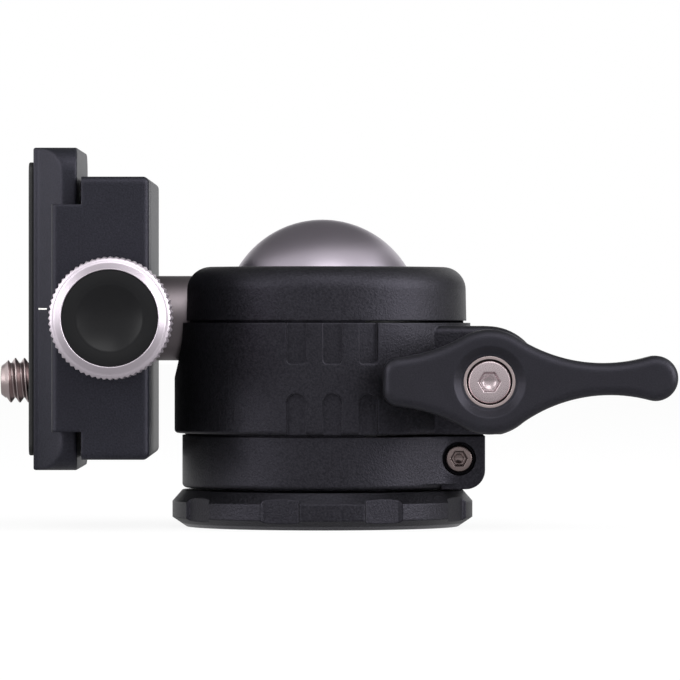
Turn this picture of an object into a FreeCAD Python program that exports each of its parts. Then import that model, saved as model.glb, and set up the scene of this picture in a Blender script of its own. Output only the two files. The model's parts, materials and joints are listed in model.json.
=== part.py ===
import FreeCAD, Part
import math
import os
import re
import Sketcher
from FreeCAD import Placement, Rotation, Vector

# Tripod ball head, in millimetres. The origin is the centre of the base's bottom face and +Z is the pan axis.
# The stem lies in its drop notch, so the clamp and the camera plate face -X and the knob and lever face -Y.

# Driving sizes: name, value, meaning
SIZES = [
    ("fit_gap", 0.05, "running clearance of turning and sliding parts"),
    ("seat_gap", 0.02, "clearance of parts seated in one another"),
    ("overcut", 1.0, "how far a cut runs past the faces that it opens"),
    ("base_proud", 0.3, "pan base, how far it stands out beyond the ball clamp band"),
    ("base_thick", 5.2, "pan base, thickness of the disc"),
    ("base_foot_in", 2.0, "pan base, bottom chamfer inwards"),
    ("base_foot_up", 1.35, "pan base, bottom chamfer upwards"),
    ("base_brow_in", 1.4, "pan base, top chamfer inwards"),
    ("base_brow_down", 1.6, "pan base, top chamfer downwards"),
    ("grip_count", 9, "pan base, number of recessed panels"),
    ("grip_depth", 0.6, "pan base, depth of a recessed panel"),
    ("grip_span", 5.0, "pan base, width of a panel's floor"),
    ("grip_flare", 0.6, "pan base, how far each panel side leans out"),
    ("grip_turn", -66.0, "pan base, direction of the first panel in degrees"),
    ("insert_radius", 6.5, "thread insert, outer radius"),
    ("insert_deep", 9.0, "thread insert, length"),
    ("tripod_bore_radius", 4.0, "tripod thread, bore radius"),
    ("tripod_mouth", 0.4, "tripod thread, chamfer at the mouth"),
    ("spigot_radius", 14.9, "pan spigot, radius"),
    ("pan_gap", 0.3, "gap between base disc and housing"),
    ("lower_band_tall", 7.6, "pan clamp band, height"),
    ("lower_band_in", 1.1, "pan clamp band, step in from the ball clamp band"),
    ("spigot_below_seam", 0.7, "spigot top below the seam of the two bands"),
    ("bush_wall", 0.95, "pan bush, wall"),
    ("bush_tall", 4.3, "pan bush, height"),
    ("ring_thick", 1.0, "retaining ring, thickness"),
    ("ring_bite", 0.7, "retaining ring, depth in each groove"),
    ("ring_under_top", 1.0, "retaining ring, cover above it on the spigot"),
    ("under_ball", 3.1, "room between spigot top and ball"),
    ("ball_radius", 14.0, "ball, radius"),
    ("seat_wall", 0.95, "upper seat, wall at the ball's equator"),
    ("seat_tall_up", 3.0, "upper seat, height above the ball's centre"),
    ("seat_tall_down", 2.0, "upper seat, height below the ball's centre"),
    ("cup_below", 8.0, "lower cup, top edge below the ball's centre"),
    ("cup_hole", 6.0, "lower cup, radius of its centre hole"),
    ("cup_floor", 1.7, "lower cup, bottom edge above the spigot top"),
    ("washer_thick", 0.4, "slip washer, thickness"),
    ("washer_in", 1.0, "slip washer, step in from the spigot's edge"),
    ("spring_thick", 0.5, "dished spring washer, thickness"),
    ("spring_hole", 8.0, "dished spring washer, hole radius"),
    ("spring_in", 1.5, "dished spring washer, step in from the spigot's edge"),
    ("band_wall", 6.0, "ball clamp band, wall round the bore"),
    ("collar_in", 0.56, "collar, step in from the ball clamp band"),
    ("collar_below", 0.5, "collar, seam below the ball's centre"),
    ("collar_draft", 0.15, "collar, inward lean at its top"),
    ("rim_above", 7.25, "collar, top above the ball's centre"),
    ("rim_gap", 0.25, "collar, gap round the ball"),
    ("rim_round", 3.2, "collar, fillet of the top edge"),
    ("band_round", 0.5, "ball clamp band, fillet of the lower edge"),
    ("foot_round", 0.7, "pan clamp band, fillet of the bottom edge"),
    ("notch_half", 7.2, "drop notch, half width"),
    ("notch_chamfer", 1.3, "drop notch, chamfer of its outer edge, width"),
    ("notch_chamfer_deep", 1.8, "drop notch, chamfer of its outer edge, depth"),
    ("slit_wide", 1.2, "clamp slit through the ears"),
    ("relief_wide", 0.3, "seams above and below the ball clamp band, and the relief slits in them"),
    ("relief_start", 6.0, "relief slits, distance of their ends from the axis"),
    ("seam_deep", 0.4, "seams, depth where they are not sawn through"),
    ("groove_wide", 2.7, "grip grooves, width"),
    ("groove_long", 5.9, "grip grooves, length"),
    ("groove_turn", 4.0, "grip grooves, direction of the middle one from the front"),
    ("groove_step", 14.0, "grip grooves, angle between neighbours"),
    ("groove_corner", 0.6, "grip grooves, corner of the upper row"),
    ("lever_out", 2.1, "lock bolt axis, distance outside the ball clamp band"),
    ("lever_below", 8.8, "lock bolt axis, below the ball's centre"),
    ("ear_radius", 7.7, "upper ears, radius"),
    ("ear_half", 14.0, "upper ears, half width across both"),
    ("ear_round", 1.0, "upper ears, fillet of the outer edges"),
    ("bolt_radius", 2.5, "lock bolt, radius"),
    ("bolt_drive", 3.5, "lock bolt, half width across the drive flats"),
    ("bolt_tap_deep", 4.0, "lock bolt, reach of its tapped hole inside the ear"),
    ("drive_web", 1.0, "lever, wall between the square drive and the seat of its screw"),
    ("nut_flats", 4.0, "clamp nut, half width across flats"),
    ("nut_thick", 4.0, "clamp nut, thickness"),
    ("nut_sunk", 0.5, "clamp nut, depth below the rear ear face"),
    ("thrust_thick", 0.6, "thrust washer, thickness"),
    ("thrust_radius", 6.0, "thrust washer, radius"),
    ("low_ear_reach", 22.85, "lower ears, reach from the pan axis"),
    ("low_ear_half", 11.0, "lower ears, half width across both"),
    ("low_ear_corner", 2.7, "lower ears, fillet of the bottom corner"),
    ("low_ear_blend", 5.0, "lower ears, fillet between their sides and the pan clamp band"),
    ("low_ear_lean", 50.0, "lower ears, angle from the slit at which that fillet leaves the band"),
    ("pan_screw_reach", 19.2, "pan lock screw axis, distance from the pan axis"),
    ("pan_screw_up", 4.3, "pan lock screw axis, above the housing's bottom"),
    ("pan_screw_radius", 1.25, "pan lock screw, shank radius"),
    ("pan_shank_short", 2.0, "pan lock screw, end of its shank inside the rear ear face"),
    ("pan_head_radius", 1.95, "pan lock screw, head radius"),
    ("pan_head_tall", 2.5, "pan lock screw, head height"),
    ("pan_head_sunk", 0.3, "pan lock screw, head below the ear face"),
    ("pan_sink_radius", 2.35, "pan lock screw, counterbore radius"),
    ("pan_hex_half", 1.0, "pan lock screw, half width of the hex socket"),
    ("hub_radius", 7.25, "lever, hub radius"),
    ("hub_sink_radius", 3.9, "lever, recess for the centre screw"),
    ("hub_dish_radius", 4.95, "lever, rim of the dish round the screw"),
    ("hub_dish_deep", 0.9, "lever, depth of the dish"),
    ("lever_stand_off", 20.3, "lever arms, back face from the head's middle plane"),
    ("lever_thick", 7.1, "lever arms, thickness"),
    ("lever_round", 1.3, "lever arms, fillet of the edges"),
    ("tip_reach", 22.9, "lever, centre of the long arm's tip from the bolt"),
    ("tip_lift", 0.5, "lever, height of the tip's centre"),
    ("tip_radius", 3.13, "lever, radius of the tip"),
    ("arm_sweep_top", 22.0, "lever, hollow radius along the long arm's top"),
    ("arm_sweep_low", 21.0, "lever, hollow radius along the long arm's underside"),
    ("heel_reach", 14.7, "lever, end of the short arm from the bolt"),
    ("heel_half", 3.4, "lever, half height of the short arm's end"),
    ("heel_corner", 2.2, "lever, corner radius of the short arm"),
    ("heel_sweep", 22.0, "lever, hollow radius along the short arm"),
    ("sleeve_radius", 3.57, "lever sleeve, outer radius"),
    ("sleeve_wall", 0.4, "lever sleeve, wall"),
    ("sleeve_deep", 2.4, "lever sleeve, length"),
    ("centre_head_radius", 3.0, "lever screw, head radius"),
    ("centre_head_tall", 2.2, "lever screw, head height"),
    ("centre_shank", 1.5, "lever screw, shank radius"),
    ("centre_shank_deep", 3.0, "lever screw, reach of its shank inside the ear"),
    ("centre_hex_half", 1.25, "lever screw, half width of the hex socket"),
    ("stem_radius", 6.0, "stem, radius"),
    ("stem_seat", 12.0, "stem, shoulder from the ball's centre"),
    ("stem_root", 3.0, "stem, inner end from the ball's centre"),
    ("stem_spigot", 4.0, "stem, radius inside the ball"),
    ("stem_reach", 23.9, "clamp floor's outer face from the ball's centre"),
    ("stem_bore", 2.6, "stem, radius of the bore for the stem screw"),
    ("stem_bore_deep", 4.0, "stem, reach of that bore past the shoulder"),
    ("clamp_floor", 9.9, "clamp, thickness of the floor"),
    ("clamp_deep", 13.55, "clamp, floor face to the top of the jaws"),
    ("clamp_long", 39.2, "clamp, length"),
    ("jaw_outer", 23.5, "clamp, jaw face from the middle plane"),
    ("jaw_inner", 16.8, "movable jaw, inner face from the middle plane"),
    ("jaw_gap", 1.0, "gap between movable jaw and clamp floor when closed"),
    ("lip_long", 31.5, "jaw lips, length"),
    ("lip_root", 9.4, "jaw lips, start above the clamp's outer face"),
    ("clamp_round", 0.9, "clamp, fillet of its edges"),
    ("guide_radius", 1.75, "guide pins, radius"),
    ("guide_apart", 27.0, "guide pins, distance between them"),
    ("guide_deep", 20.0, "guide pins, length"),
    ("guide_cover", 1.5, "guide pins, jaw wall in front of them"),
    ("knob_axis_up", 5.0, "clamp screw axis above the clamp's outer face"),
    ("clamp_screw_radius", 3.0, "clamp screw, radius"),
    ("clamp_screw_end", 6.2, "clamp screw, inner end from the middle plane"),
    ("clamp_screw_room", 1.0, "clamp screw, room past its inner end"),
    ("spring_room", 4.0, "jaw spring pocket, depth"),
    ("spring_outer", 4.7, "jaw spring, outer radius"),
    ("spring_wire", 0.6, "jaw spring, wire thickness"),
    ("knob_radius", 8.46, "knob, radius over the teeth"),
    ("knob_long", 12.0, "knob, length"),
    ("knob_teeth", 64, "knob, number of teeth"),
    ("tooth_deep", 0.35, "knob, depth of the teeth"),
    ("tooth_flare", 1.6, "knob, opening of a tooth gap just outside the rim, in half tooth spacings"),
    ("knob_round", 0.9, "knob, rounding of the rim"),
    ("cap_radius", 6.63, "knob cap, radius"),
    ("cap_deep", 5.0, "knob cap, thickness"),
    ("cap_dish_radius", 4.7, "knob cap, radius of the dish"),
    ("cap_dish_deep", 1.0, "knob cap, depth of the dish"),
    ("cap_sunk", 0.2, "knob cap, depth below the knob's rim"),
    ("knob_washer_thick", 0.9, "knob washer, thickness"),
    ("knob_washer_radius", 5.2, "knob washer, radius"),
    ("stem_screw_radius", 2.5, "stem screw, radius"),
    ("stem_screw_head", 4.6, "stem screw, head radius"),
    ("stem_screw_long", 15.0, "stem screw, length"),
    ("stem_hex_half", 1.5, "stem screw, half width of the hex socket"),
    ("turn_pin_radius", 0.75, "anti-turn pins, radius"),
    ("turn_pin_apart", 8.8, "anti-turn pins, distance between them"),
    ("turn_pin_deep", 2.5, "anti-turn pins, depth in each part"),
    ("plate_gap", 0.3, "gap between clamp floor and plate"),
    ("plate_wide", 38.0, "plate, width"),
    ("plate_long", 45.0, "plate, length"),
    ("plate_corner", 3.5, "plate, corner radius"),
    ("plate_side", 2.1, "plate, straight side of the base"),
    ("plate_slope", 3.5, "plate, height of the dovetail slope"),
    ("plate_land", 0.6, "plate, straight top strip"),
    ("plate_shift", 1.3, "plate, shift along the clamp"),
    ("pad_thick", 0.7, "rubber pad, thickness"),
    ("pad_edge_end", 2.0, "rubber pad, step in from the plate's ends"),
    ("pad_edge_side", 0.6, "rubber pad, step in from the plate's sides"),
    ("camera_screw_radius", 3.175, "camera screw, radius"),
    ("camera_screw_stand", 4.6, "camera screw, height above the pad"),
    ("camera_neck_radius", 2.6, "camera screw, radius of the neck under the thread"),
    ("camera_neck_out", 0.2, "camera screw, start of the thread above the pad"),
    ("camera_point", 0.6, "camera screw, chamfer of the point"),
    ("camera_head_radius", 5.5, "camera screw, head radius"),
    ("camera_head_tall", 2.4, "camera screw, head height"),
    ("camera_head_sunk", 0.3, "camera screw, head below the plate's bottom"),
    ("coin_slot_wide", 1.2, "camera screw, width of the coin slot"),
    ("camera_washer_thick", 0.5, "camera screw washer, thickness"),
    ("camera_travel", 20.2, "camera screw, travel along the plate's slot"),
    ("camera_slot_gap", 0.12, "camera screw, side clearance in the slot"),
]

doc = FreeCAD.newDocument("TripodBallHead")
sheet = doc.addObject("Spreadsheet::Sheet", "Sizes")
for row, (name, value, meaning) in enumerate(SIZES, 1):
    sheet.set(f"A{row}", name)
    sheet.set(f"B{row}", str(value))
    sheet.set(f"C{row}", meaning)
    sheet.setAlias(f"B{row}", name)

# Sizes that follow from the driving ones, each a formula in the same sheet
DERIVED = [
    ("housing_low", "base_thick + pan_gap"),
    ("low_seam", "housing_low + lower_band_tall"),
    ("spigot_top", "low_seam - spigot_below_seam"),
    ("ball_up", "spigot_top + under_ball + ball_radius"),
    ("high_seam", "ball_up - collar_below"),
    ("rim_up", "ball_up + rim_above"),
    ("socket_radius", "ball_radius + fit_gap"),
    ("bore_radius", "socket_radius + seat_wall + seat_gap"),
    ("band_radius", "bore_radius + band_wall - seat_gap"),
    ("base_radius", "band_radius + base_proud"),
    ("collar_radius", "band_radius - collar_in"),
    ("lower_radius", "band_radius - lower_band_in"),
    ("throat_radius", "ball_radius + rim_gap"),
    ("rim_radius", "sqrt(throat_radius ^ 2 - rim_above ^ 2)"),
    ("bush_inner", "spigot_radius + fit_gap"),
    ("bush_outer", "bush_inner + bush_wall"),
    ("pan_bore", "bush_outer + seat_gap"),
    ("ring_top", "spigot_top - ring_under_top"),
    ("ring_low", "ring_top - ring_thick"),
    ("bolt_x", "band_radius + lever_out"),
    ("bolt_z", "ball_up - lever_below"),
    ("pan_screw_z", "housing_low + pan_screw_up"),
    ("hub_back", "ear_half + thrust_thick + fit_gap"),
    ("lever_front", "lever_stand_off + lever_thick"),
    ("clamp_face_x", "-stem_reach"),
    ("floor_x", "-stem_reach - clamp_floor"),
    ("lip_x", "-stem_reach - lip_root"),
    ("jaw_top_x", "-stem_reach - clamp_deep"),
    ("knob_x", "-stem_reach - knob_axis_up"),
    ("clamp_low", "ball_up - clamp_long / 2"),
    ("clamp_high", "ball_up + clamp_long / 2"),
    ("body_edge", "jaw_inner - jaw_gap"),
    ("plate_base_x", "floor_x - plate_gap"),
    ("plate_slope_x", "plate_base_x - plate_side"),
    ("plate_neck_x", "plate_slope_x - plate_slope"),
    ("plate_top_x", "plate_neck_x - plate_land"),
    ("pad_top_x", "plate_top_x - pad_thick"),
    ("plate_half", "plate_wide / 2"),
    ("neck_half", "plate_half - plate_slope"),
    ("groove_half", "plate_half + fit_gap"),
    ("plate_mid", "ball_up + plate_shift"),
    ("plate_low", "plate_mid - plate_long / 2"),
    ("plate_high", "plate_mid + plate_long / 2"),
    ("camera_z", "plate_mid - camera_travel / 2"),
    ("slot_half", "camera_screw_radius + camera_slot_gap"),
    ("recess_half", "camera_head_radius + camera_slot_gap"),
    ("camera_head_x", "plate_base_x - camera_head_sunk"),
    ("camera_seat_x", "camera_head_x - camera_head_tall"),
    ("recess_top_x", "camera_seat_x - 2 * fit_gap - camera_washer_thick"),
    ("knob_back", "jaw_outer + knob_washer_thick + fit_gap"),
    ("knob_front", "knob_back + knob_long"),
    ("cap_back", "knob_front - cap_sunk - cap_deep"),
]
for row, (name, formula) in enumerate(DERIVED, len(SIZES) + 1):
    sheet.set(f"A{row}", name)
    sheet.set(f"B{row}", "=" + formula)
    sheet.setAlias(f"B{row}", name)
doc.recompute()

NAMES = {entry[0] for entry in SIZES} | {entry[0] for entry in DERIVED}
PIECES = []


def tie(formula):
    """Point every size name of a formula at its cell of the sheet."""
    return re.sub(r"[a-z_]+", lambda word: "Sizes." + word.group() if word.group() in NAMES else word.group(),
                  formula)


def size(formula):
    """The present value of a formula."""
    return float(sheet.evalExpression(formula))


def bind(item, **formulas):
    """Bind properties of an object to formulas; a double underscore stands for a dot."""
    for prop, formula in formulas.items():
        item.setExpression(prop.replace("__", "."), tie(formula))
    return item


def piece(item, label):
    """Register an object as a finished sub-part."""
    item.Label = label
    PIECES.append(item)
    return item


# Sketch and feature helpers


def sketch(body, role, along="0", turn=None):
    """A sketch on one of the body's origin planes, moved along the plane's normal."""
    made = body.newObject("Sketcher::SketchObject", body.Name + "_sketch")
    plane = next(item for item in body.Origin.OriginFeatures if item.Role == role)
    made.AttachmentSupport = [(plane, "")]
    made.MapMode = "FlatFace"
    bind(made, AttachmentOffset__Base__z=along)
    if turn:
        bind(made, AttachmentOffset__Rotation__Angle=turn)
    return made


def fix(made, geometry, position, across, up):
    """Hold one point of a sketch at a place given by two formulas."""
    for kind, formula in (("DistanceX", across), ("DistanceY", up)):
        index = made.addConstraint(Sketcher.Constraint(kind, -1, 1, geometry, position, size(formula)))
        made.setExpression(f"Constraints[{index}]", tie(formula))


def outline(made, corners):
    """A closed outline through corners (across, up) or (across, up, radius), all formulas."""
    spots = [Vector(size(corner[0]), size(corner[1]), 0) for corner in corners]
    count = len(corners)
    radii = [size(corner[2]) if len(corner) > 2 else 0 for corner in corners]
    cuts = []
    for index, spot in enumerate(spots):
        back = (spots[index - 1] - spot).normalize()
        ahead = (spots[(index + 1) % count] - spot).normalize()
        half = back.getAngle(ahead) / 2
        run = radii[index] / math.tan(half)
        cuts.append((spot + back * run, spot + ahead * run))
    lines = []
    for index in range(count):
        start = cuts[index][1]
        end = cuts[(index + 1) % count][0]
        lines.append(made.addGeometry(Part.LineSegment(start, end)))
    for index, corner in enumerate(corners):
        before = lines[index - 1]
        after = lines[index]
        if not radii[index]:
            made.addConstraint(Sketcher.Constraint("Coincident", before, 2, after, 1))
            fix(made, after, 1, corner[0], corner[1])
            continue
        spot = spots[index]
        middle = (cuts[index][0] + cuts[index][1]) / 2
        inward = (middle - spot).normalize()
        reach = math.hypot((cuts[index][0] - spot).Length, radii[index])
        centre = spot + inward * reach
        on_arc = centre - inward * radii[index]
        curve = Part.Arc(cuts[index][0], on_arc, cuts[index][1])
        arc = made.addGeometry(curve)
        arc_start = made.getPoint(arc, 1)
        first, last = (1, 2) if (arc_start - cuts[index][0]).Length < 1e-6 else (2, 1)
        made.addConstraint(Sketcher.Constraint("Tangent", before, 2, arc, first))
        made.addConstraint(Sketcher.Constraint("Tangent", arc, last, after, 1))
        held = made.addConstraint(Sketcher.Constraint("Radius", arc, radii[index]))
        made.setExpression(f"Constraints[{held}]", tie(corner[2]))
        virtual = made.addGeometry(Part.Point(spot), True)
        made.addConstraint(Sketcher.Constraint("PointOnObject", virtual, 1, before))
        made.addConstraint(Sketcher.Constraint("PointOnObject", virtual, 1, after))
        fix(made, virtual, 1, corner[0], corner[1])
    return made


def block(made, left, low, right, high):
    """A rectangle between two corners."""
    return outline(made, [(left, low), (right, low), (right, high), (left, high)])


def circle(made, across, up, radius):
    """A circle held by its centre and radius."""
    ring = made.addGeometry(Part.Circle(Vector(size(across), size(up), 0), Vector(0, 0, 1), size(radius)))
    fix(made, ring, 3, across, up)
    held = made.addConstraint(Sketcher.Constraint("Radius", ring, size(radius)))
    made.setExpression(f"Constraints[{held}]", tie(radius))
    return made


def feature(body, kind, made, **formulas):
    """Add a sketch-based feature to a body and bind its sizes."""
    added = body.newObject("PartDesign::" + kind, body.Name + "_" + kind.lower())
    added.Profile = made
    bind(added, **formulas)
    return added


def pad(body, role, start, end, draw, turn=None):
    """Add material between two places along a plane's normal; draw fills in the sketch."""
    made = sketch(body, role, start, turn)
    draw(made)
    return feature(body, "Pad", made, Length=f"({end}) - ({start})")


def pocket(body, role, start, end, draw, turn=None):
    """Cut from the far place back to the near one along a plane's normal."""
    made = sketch(body, role, end, turn)
    draw(made)
    return feature(body, "Pocket", made, Length=f"({end}) - ({start})")


def revolved(body, corners, kind="Revolution"):
    """Turn a profile of (radius, height) corners about the body's Z axis."""
    made = outline(sketch(body, "XZ_Plane"), corners)
    added = body.newObject("PartDesign::" + kind, body.Name + "_" + kind.lower())
    added.Profile = made
    added.ReferenceAxis = (made, ["V_Axis"])
    added.Angle = 360
    return added


def polar(body, original, count, angle="360"):
    """Repeat a feature about the body's Z axis."""
    axis = next(item for item in body.Origin.OriginFeatures if item.Role == "Z_Axis")
    pattern = body.newObject("PartDesign::PolarPattern", body.Name + "_pattern")
    pattern.Originals = [original]
    pattern.Axis = (axis, [""])
    bind(pattern, Occurrences=count, Angle=angle)
    body.Tip = pattern
    return pattern


def soften(body, radius, wanted, kind="Fillet"):
    """Round or chamfer the edges of the body's tip that a test picks."""
    doc.recompute()
    tip = body.Tip
    picked = [f"Edge{index}" for index, edge in enumerate(tip.Shape.Edges, 1) if wanted(edge)]
    if not picked:
        raise RuntimeError("no edge to soften on " + body.Name)
    added = body.newObject("PartDesign::" + kind, body.Name + "_" + kind.lower())
    added.Base = (tip, picked)
    bind(added, **{"Radius" if kind == "Fillet" else "Size": radius})
    return added


def new_body(label):
    """An empty body, registered as a sub-part."""
    return piece(doc.addObject("PartDesign::Body", label), label)


# Primitives and booleans

AXIS_TURN = {
    "z": Rotation(),
    "-x": Rotation(Vector(0, 1, 0), -90),
    "-y": Rotation(Vector(1, 0, 0), 90),
}


def rod(direction, radius, start, end, x="0", y="0", z="0", top=None):
    """A cylinder, or a cone where top is given, from start to end along a direction."""
    kind = "Part::Cone" if top else "Part::Cylinder"
    made = doc.addObject(kind, "Rod")
    if top:
        bind(made, Radius1=radius, Radius2=top)
    else:
        bind(made, Radius=radius)
    bind(made, Height=f"({end}) - ({start})")
    made.Placement = Placement(Vector(), AXIS_TURN[direction])
    shift = {"x": x, "y": y, "z": z}
    letter = direction[-1]
    sign = "-" if direction[0] == "-" else ""
    shift[letter] = f"{sign}({start})"
    bind(made, **{f"Placement__Base__{key}": formula for key, formula in shift.items()})
    return made


def hexagon(direction, half_flats, start, end, x="0", y="0", z="0"):
    """A hexagonal prism from start to end along a direction."""
    made = doc.addObject("Part::Prism", "Hexagon")
    made.Polygon = 6
    bind(made, Circumradius=f"({half_flats}) / cos(30)", Height=f"({end}) - ({start})")
    made.Placement = Placement(Vector(), AXIS_TURN[direction])
    shift = {"x": x, "y": y, "z": z}
    shift[direction[-1]] = f"-({start})" if direction[0] == "-" else start
    bind(made, **{f"Placement__Base__{key}": formula for key, formula in shift.items()})
    return made


def ball_shape(radius):
    """A sphere about the ball's centre."""
    made = doc.addObject("Part::Sphere", "Sphere")
    return bind(made, Radius=radius, Placement__Base__z="ball_up")


def slab(x, y, z, long, wide, tall):
    """A box from its low corner and its three sizes."""
    made = doc.addObject("Part::Box", "Slab")
    return bind(made, Length=long, Width=wide, Height=tall, Placement__Base__x=x, Placement__Base__y=y,
                Placement__Base__z=z)


def joined(*items):
    """One solid from several."""
    made = doc.addObject("Part::MultiFuse", "Joined")
    made.Shapes = list(items)
    return made


def cut(base, *tools):
    """A solid less the tools."""
    tool = tools[0] if len(tools) == 1 else joined(*tools)
    made = doc.addObject("Part::Cut", "Cut")
    made.Base = base
    made.Tool = tool
    return made


# Pan base


def build_pan_base():
    """Disc with recessed grip panels, and the spigot that the housing turns on."""
    body = new_body("pan_base")
    revolved(body, [
        ("0", "insert_deep"),
        ("insert_radius", "insert_deep"),
        ("insert_radius", "0"),
        ("base_radius - base_foot_in", "0"),
        ("base_radius", "base_foot_up"),
        ("base_radius", "base_thick - base_brow_down"),
        ("base_radius - base_brow_in", "base_thick"),
        ("spigot_radius", "base_thick"),
        ("spigot_radius", "ring_low - fit_gap"),
        ("spigot_radius - ring_bite", "ring_low - fit_gap"),
        ("spigot_radius - ring_bite", "ring_top + fit_gap"),
        ("spigot_radius", "ring_top + fit_gap"),
        ("spigot_radius", "spigot_top"),
        ("0", "spigot_top"),
    ])

    def panel(made):
        outline(made, [
            ("base_radius - grip_depth", "-grip_span / 2"),
            ("base_radius + grip_depth", "-grip_span / 2 - 2 * grip_flare"),
            ("base_radius + grip_depth", "grip_span / 2 + 2 * grip_flare"),
            ("base_radius - grip_depth", "grip_span / 2"),
        ])
    recess = pocket(body, "XY_Plane", "0", "base_thick", panel, turn="grip_turn")
    polar(body, recess, "grip_count")


def build_thread_insert():
    """Steel insert with the tripod thread's bore."""
    sleeve = rod("z", "insert_radius - seat_gap", "0", "insert_deep")
    bore = rod("z", "tripod_bore_radius", "-overcut", "insert_deep + overcut")
    mouth = rod("z", "tripod_bore_radius + tripod_mouth", "0", "tripod_mouth", top="tripod_bore_radius")
    piece(cut(sleeve, bore, mouth), "thread_insert")


# Housing


def build_housing():
    """Split clamp housing: collar, ball clamp band and pan clamp band with their ears."""
    body = new_body("housing")
    revolved(body, [
        ("pan_bore", "housing_low"),
        ("lower_radius", "housing_low", "foot_round"),
        ("lower_radius", "low_seam - relief_wide / 2"),
        ("lower_radius - seam_deep", "low_seam - relief_wide / 2"),
        ("lower_radius - seam_deep", "low_seam + relief_wide / 2"),
        ("band_radius", "low_seam + relief_wide / 2", "band_round"),
        ("band_radius", "high_seam - relief_wide / 2"),
        ("collar_radius - seam_deep", "high_seam - relief_wide / 2"),
        ("collar_radius - seam_deep", "high_seam + relief_wide / 2"),
        ("collar_radius", "high_seam + relief_wide / 2"),
        ("collar_radius - collar_draft", "rim_up", "rim_round"),
        ("rim_radius", "rim_up"),
        ("rim_radius", "ball_up + seat_tall_up"),
        ("bore_radius", "ball_up + seat_tall_up"),
        ("bore_radius", "spigot_top + fit_gap"),
        ("pan_bore", "spigot_top + fit_gap"),
        ("pan_bore", "ring_top + fit_gap"),
        ("pan_bore + ring_bite", "ring_top + fit_gap"),
        ("pan_bore + ring_bite", "ring_low - fit_gap"),
        ("pan_bore", "ring_low - fit_gap"),
    ])
    throat = body.newObject("PartDesign::SubtractiveSphere", "housing_throat")
    bind(throat, Radius="throat_radius", Placement__Base__z="ball_up")
    pad(body, "YZ_Plane", "bore_radius + 2 * seat_gap", "bolt_x", lambda made: outline(made, [
        ("-ear_half", "bolt_z - ear_radius", "ear_round"),
        ("ear_half", "bolt_z - ear_radius", "ear_round"),
        ("ear_half", "bolt_z + ear_radius", "ear_round"),
        ("-ear_half", "bolt_z + ear_radius", "ear_round"),
    ]))
    rounded_end(body)
    pad(body, "XZ_Plane", "-low_ear_half", "low_ear_half", lambda made: outline(made, [
        ("pan_bore + ring_bite + 3 * seat_gap", "housing_low"),
        ("low_ear_reach", "housing_low", "low_ear_corner"),
        ("low_ear_reach", "low_seam + relief_wide / 2"),
        ("pan_bore + ring_bite + 3 * seat_gap", "low_seam + relief_wide / 2"),
    ]))
    start = "(lower_radius - seat_gap)"
    for side in ("-", ""):
        pad(body, "XY_Plane", "housing_low + foot_round", "low_seam + relief_wide / 2",
            lambda made, side=side: outline(made, [
                (f"{start} * cos(low_ear_lean)", f"{side}{start} * sin(low_ear_lean)"),
                (f"{start} / cos(low_ear_lean) - low_ear_half * tan(low_ear_lean)", f"{side}low_ear_half",
                 "low_ear_blend"),
                ("low_ear_reach - low_ear_corner", f"{side}low_ear_half"),
                ("low_ear_reach - low_ear_corner", f"{side}low_ear_half / 2"),
            ]))
    pocket(body, "XZ_Plane", "-2 * ear_half", "2 * ear_half",
           lambda made: circle(made, "bolt_x", "bolt_z", "bolt_radius + fit_gap"))
    pocket(body, "XZ_Plane", "-2 * ear_half", "low_ear_half - pan_head_sunk - pan_head_tall - fit_gap",
           lambda made: circle(made, "pan_screw_reach", "pan_screw_z", "pan_screw_radius + fit_gap"))
    pocket(body, "XZ_Plane", "low_ear_half - pan_head_sunk - pan_head_tall - fit_gap", "2 * ear_half",
           lambda made: circle(made, "pan_screw_reach", "pan_screw_z", "pan_sink_radius"))
    nut = "(nut_flats + seat_gap) / cos(30)"

    def nut_outline(made):
        corners = []
        for step in range(6):
            angle = 60 * step
            corners.append((f"bolt_x + {nut} * cos({angle})", f"bolt_z + {nut} * sin({angle})"))
        outline(made, corners)
    pocket(body, "XZ_Plane", "-2 * ear_half", "-(ear_half - nut_sunk - nut_thick)", nut_outline)
    pocket(body, "XY_Plane", "0", "high_seam",
           lambda made: block(made, "pan_bore / 2", "-slit_wide / 2", "3 * band_radius", "slit_wide / 2"))
    for seam in ("low_seam", "high_seam"):
        pocket(body, "XY_Plane", f"{seam} - relief_wide / 2", f"{seam} + relief_wide / 2",
               lambda made: block(made, "relief_start", "-3 * band_radius", "3 * band_radius",
                                  "slit_wide / 2"))

    # Drop notch
    pocket(body, "YZ_Plane", "-2 * band_radius", "-ball_radius / 2",
           lambda made: circle(made, "0", "ball_up", "notch_half"))
    pocket(body, "YZ_Plane", "-2 * band_radius", "-ball_radius / 2",
           lambda made: block(made, "-notch_half", "ball_up", "notch_half", "2 * rim_up"))
    mouth = body.newObject("PartDesign::SubtractiveCone", "housing_notch_mouth")
    mouth.Placement = Placement(Vector(), AXIS_TURN["-x"])
    bind(mouth, Radius1="notch_half", Radius2="notch_half + notch_chamfer", Height="notch_chamfer_deep",
         Placement__Base__x="notch_chamfer_deep - band_radius", Placement__Base__z="ball_up")
    pocket(body, "XY_Plane", "ball_up", "rim_up + overcut", lambda made: outline(made, [
        ("-band_radius", "-notch_half - notch_chamfer"),
        ("notch_chamfer_deep - band_radius", "-notch_half"),
        ("notch_chamfer_deep - band_radius", "notch_half"),
        ("-band_radius", "notch_half + notch_chamfer"),
    ]))

    # Grip grooves, three above and three below on the front and the back
    for facing in ("groove_turn", "groove_turn + 180"):
        for low, high, corner_low, corner_high in (
            ("high_seam - groove_long", "high_seam + relief_wide", "groove_corner", None),
            ("low_seam - relief_wide", "low_seam + groove_long", None, "groove_wide / 2 - seat_gap"),
        ):
            for step in ("-groove_step", "0", "groove_step"):
                groove(body, f"{facing} + {step}", low, high, corner_low, corner_high)


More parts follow.
